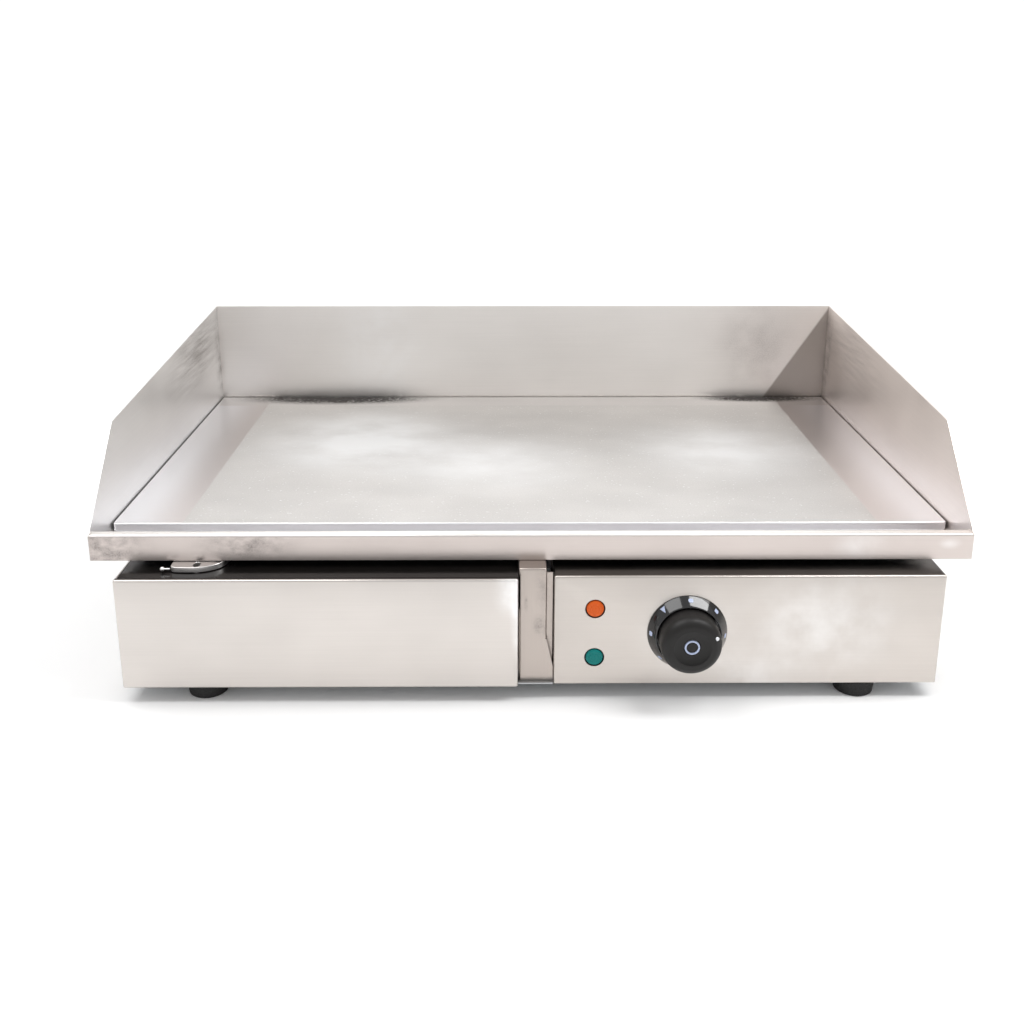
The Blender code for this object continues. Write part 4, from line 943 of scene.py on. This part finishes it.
class GRIDDLE_OT_gland_and_earth(bpy.types.Operator):
    """Make the cable gland and the earth terminal on the back"""

    bl_idname = "griddle.gland_and_earth"
    bl_label = "Gland and Earth"

    def execute(self, context):
        black = moulded("moulded_black_nylon", linear("1D1D1F"), 0.48, grain_mm=0.7, relief=0.2)
        low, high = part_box("cable_gland_body")
        nut_low, nut_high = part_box("gland_dome_nut")
        centre = (low + high) / 2
        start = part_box("rear_panel")[1].y + 0.3 * MM
        bore = 4.5 * MM
        thread, seal = bore + 4.3 * MM, 5.4 * MM
        flutes, groove = 20, 0.028
        r = (nut_high.x - nut_low.x) / 2
        base, top = nut_low.y - start, nut_high.y - start
        profile = [(bore, top), (r - 3.5 * MM, top), (r, top - 4 * MM), (r, base), (thread, base)]
        profile += [(thread, top - seal), (bore, top - seal)]
        mesh = lathe("gland_cap", softened(profile, 0.8 * MM), 120, ring=True)
        for vertex in mesh.vertices:
            out = Vector(vertex.co.xy)
            if out.length > r - 1 * MM and vertex.co.z < top - 3 * MM:
                angle = out.angle_signed(Vector((1, 0)))
                vertex.co.xy = out * (1 - groove * (0.5 + 0.5 * cos(flutes * angle)))
        place = (centre.x, start, centre.z)
        new_piece("gland_cap", mesh, BODY, black, ["gland_dome_nut"], place, REARWARD)
        for node in ("cable_gland_body", "gland_lock_nut"):
            sheet_piece(node, BODY, black, 0.3 * MM)
        copper = moulded(
            "drawn_copper_alloy", linear("C58A5C"), 0.3, grain_mm=1.2, relief=0.1, metallic=1.0
        )
        earth(copper)
        sheet_piece("earth_nut", BODY, copper, 0.4 * MM)
        painted("thermostat_bulb", copper)
        return {"FINISHED"}


def earth(copper):
    """The threaded earth stud."""
    low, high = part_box("earth_stud")
    centre = (low + high) / 2
    head, r = (high.x - low.x) / 2, (high.x - low.x) / 4
    length = high.y - low.y
    pitch, depth, lead, head_height = 0.7 * MM, 0.3 * MM, 0.4 * MM, 2 * MM
    profile = [(0, length), (r - lead, length)]
    for turn in range(int((length - 1.5 * head_height) / pitch)):
        crest = length - lead - turn * pitch
        profile += [(r, crest), (r - depth, crest - pitch / 2)]
    profile += [(r, head_height), (head, head_height), (head, 0.2 * MM), (head - 0.3 * MM, 0), (0, 0)]
    mesh = lathe("earth_screw", profile, 32)
    place = (centre.x, low.y, centre.z)
    new_piece("earth_screw", mesh, BODY, copper, ["earth_stud"], place, REARWARD)


class GRIDDLE_OT_inner_parts(bpy.types.Operator):
    """Finish the heating and electrical parts inside the housing"""

    bl_idname = "griddle.inner_parts"
    bl_label = "Inner Parts"

    def execute(self, context):
        oxide = linear("5A534D")
        sheath = moulded("annealed_incoloy_sheath", oxide, 0.45, 2, 0.1, spread=0.3, metallic=1.0)
        fibre = moulded(
            "needled_ceramic_fibre", linear("ECE7DC"), 0.95, grain_mm=3, relief=1.0, spread=0.08
        )
        nylon = moulded("moulded_natural_nylon", linear("DEDDD6"), 0.5)
        phenolic = bpy.data.materials["moulded_black_phenolic"]
        sleeve = moulded("woven_glass_sleeve", linear("2C2C2F"), 0.75, grain_mm=1.5, relief=0.6)
        finishes = {
            "left_heating_element": sheath,
            "right_heating_element": sheath,
            "insulation_blanket": fibre,
            "thermostat_body": nylon,
            "terminal_block": nylon,
            "over_temperature_cutout": phenolic,
            "wiring_loom": sleeve,
        }
        for node, finish in finishes.items():
            painted(node, finish)
        return {"FINISHED"}


# Studio


class GRIDDLE_OT_studio(bpy.types.Operator):
    """Make the paper sweep, the soft lights and the camera"""

    bl_idname = "griddle.studio"
    bl_label = "Studio"

    def execute(self, context):
        look = context.scene.griddle_studio
        paper_sweep(look)
        surroundings(context.scene)
        soft_box("key_soft_box", (0.9, -0.25, 1.36), (0.13, -0.23, 0.09), (0.4, 1.2), 12)
        soft_box("fill_soft_box", (-1.1, 0.0, 2.2), (-0.3, 0.0, 0.1), (1.6, 1.6), 24)
        soft_box("backdrop_soft_box", (0.0, 1.6, 3.2), (0.0, 4.2, 1.0), (3.0, 1.0), 48, radians(130))
        picture_camera(context.scene, look)
        context.scene.view_settings.view_transform = "Standard"
        return {"FINISHED"}


def paper_sweep(look):
    """Seamless white paper: a floor that curves up into a backdrop."""
    start, radius, half_width, height = 3.0, 1.2, 6.0, 4.0
    section = [(-4.0, 0.0), *arc((start, radius), radius, -90, 0, 16), (start + radius, height)]
    form = bmesh.new()
    rows = [
        [form.verts.new((x, y, z - 0.2 * MM)) for y, z in section] for x in (-half_width, half_width)
    ]
    for left, right in zip(zip(rows[0], rows[0][1:]), zip(rows[1], rows[1][1:])):
        form.faces.new((left[0], right[0], right[1], left[1]))
    mesh = finished_mesh(form, "paper_sweep")
    paper, tree, shader = new_material("matt_white_paper", look.floor_colour, 0.9)
    weave = pattern(tree, (0.4, 0.4, 0.4), 0.985, 1.0, detail=2.0)
    tree.links.new(tinted(tree, look.floor_colour, weave, 1.0, "MULTIPLY"), shader.inputs["Base Color"])
    mesh.materials.append(paper)
    sweep = bpy.data.objects.new("paper_sweep", mesh)
    bpy.context.scene.collection.objects.link(sweep)


def surroundings(scene):
    """An even white room, a little darker to the right."""
    world = bpy.data.worlds.new("white_room")
    scene.world = world
    world.use_nodes = True
    tree = world.node_tree
    facing = add_node(tree, "ShaderNodeTexCoord").outputs["Generated"]
    sideways = add_node(tree, "ShaderNodeSeparateXYZ", {0: facing}).outputs["X"]
    limits = {"Value": sideways, "From Min": -1.0, "From Max": 1.0, "To Min": 0.7, "To Max": 0.66}
    strength = add_node(tree, "ShaderNodeMapRange", limits).outputs["Result"]
    background = tree.nodes["Background"]
    background.inputs["Color"].default_value = WHITE
    tree.links.new(strength, background.inputs["Strength"])


def soft_box(name, place, target, size, watts, spread=pi):
    lamp = bpy.data.lights.new(name, "AREA")
    lamp.shape = "RECTANGLE"
    lamp.size, lamp.size_y = size
    lamp.energy = watts
    lamp.spread = spread
    box = bpy.data.objects.new(name, lamp)
    box.location = place
    box.visible_camera = False
    box.rotation_euler = (Vector(target) - Vector(place)).to_track_quat("-Z", "Y").to_euler()
    bpy.context.scene.collection.objects.link(box)


def picture_camera(scene, look):
    data = bpy.data.cameras.new("picture_camera")
    data.lens = look.lens
    data.sensor_width = 36
    data.shift_y = look.shift
    camera = bpy.data.objects.new("picture_camera", data)
    turn = Matrix.Rotation(-look.yaw, 4, "Z") @ Matrix.Rotation(pi / 2 - look.pitch, 4, "X")
    camera.matrix_world = Matrix.Translation(look.camera_place) @ turn @ Matrix.Rotation(look.roll, 4, "Z")
    scene.collection.objects.link(camera)
    scene.camera = camera


# Registration


PIECES = (
    GRIDDLE_OT_cooking_plate,
    GRIDDLE_OT_splash_walls,
    GRIDDLE_OT_apron_and_trough,
    GRIDDLE_OT_drain_spout,
    GRIDDLE_OT_housing,
    GRIDDLE_OT_control_box,
    GRIDDLE_OT_grease_drawer,
    GRIDDLE_OT_feet,
    GRIDDLE_OT_dial_ring,
    GRIDDLE_OT_control_knob,
    GRIDDLE_OT_pilot_lamps,
    GRIDDLE_OT_gland_and_earth,
    GRIDDLE_OT_inner_parts,
    GRIDDLE_OT_studio,
)


class GRIDDLE_PT_sidebar(bpy.types.Panel):
    """Lists the griddle's pieces in the 3D view's sidebar"""

    bl_label = "Electric Griddle"
    bl_idname = "GRIDDLE_PT_sidebar"
    bl_space_type = "VIEW_3D"
    bl_region_type = "UI"
    bl_category = "Griddle"

    def draw(self, context):
        for piece in PIECES:
            self.layout.operator(piece.bl_idname)


SETTINGS = {
    "griddle_steel": SteelSettings,
    "griddle_plate_look": PlateSettings,
    "griddle_controls": ControlSettings,
    "griddle_studio": StudioSettings,
}


def register():
    for kind in (*SETTINGS.values(), *PIECES, GRIDDLE_PT_sidebar):
        bpy.utils.register_class(kind)
    for name, kind in SETTINGS.items():
        setattr(bpy.types.Scene, name, PointerProperty(type=kind))


def unregister():
    for name in SETTINGS:
        delattr(bpy.types.Scene, name)
    for kind in reversed((*SETTINGS.values(), *PIECES, GRIDDLE_PT_sidebar)):
        bpy.utils.unregister_class(kind)


def main():
    register()
    for piece in PIECES:
        group, name = piece.bl_idname.split(".")
        getattr(getattr(bpy.ops, group), name)()


if __name__ == "__main__":
    main()
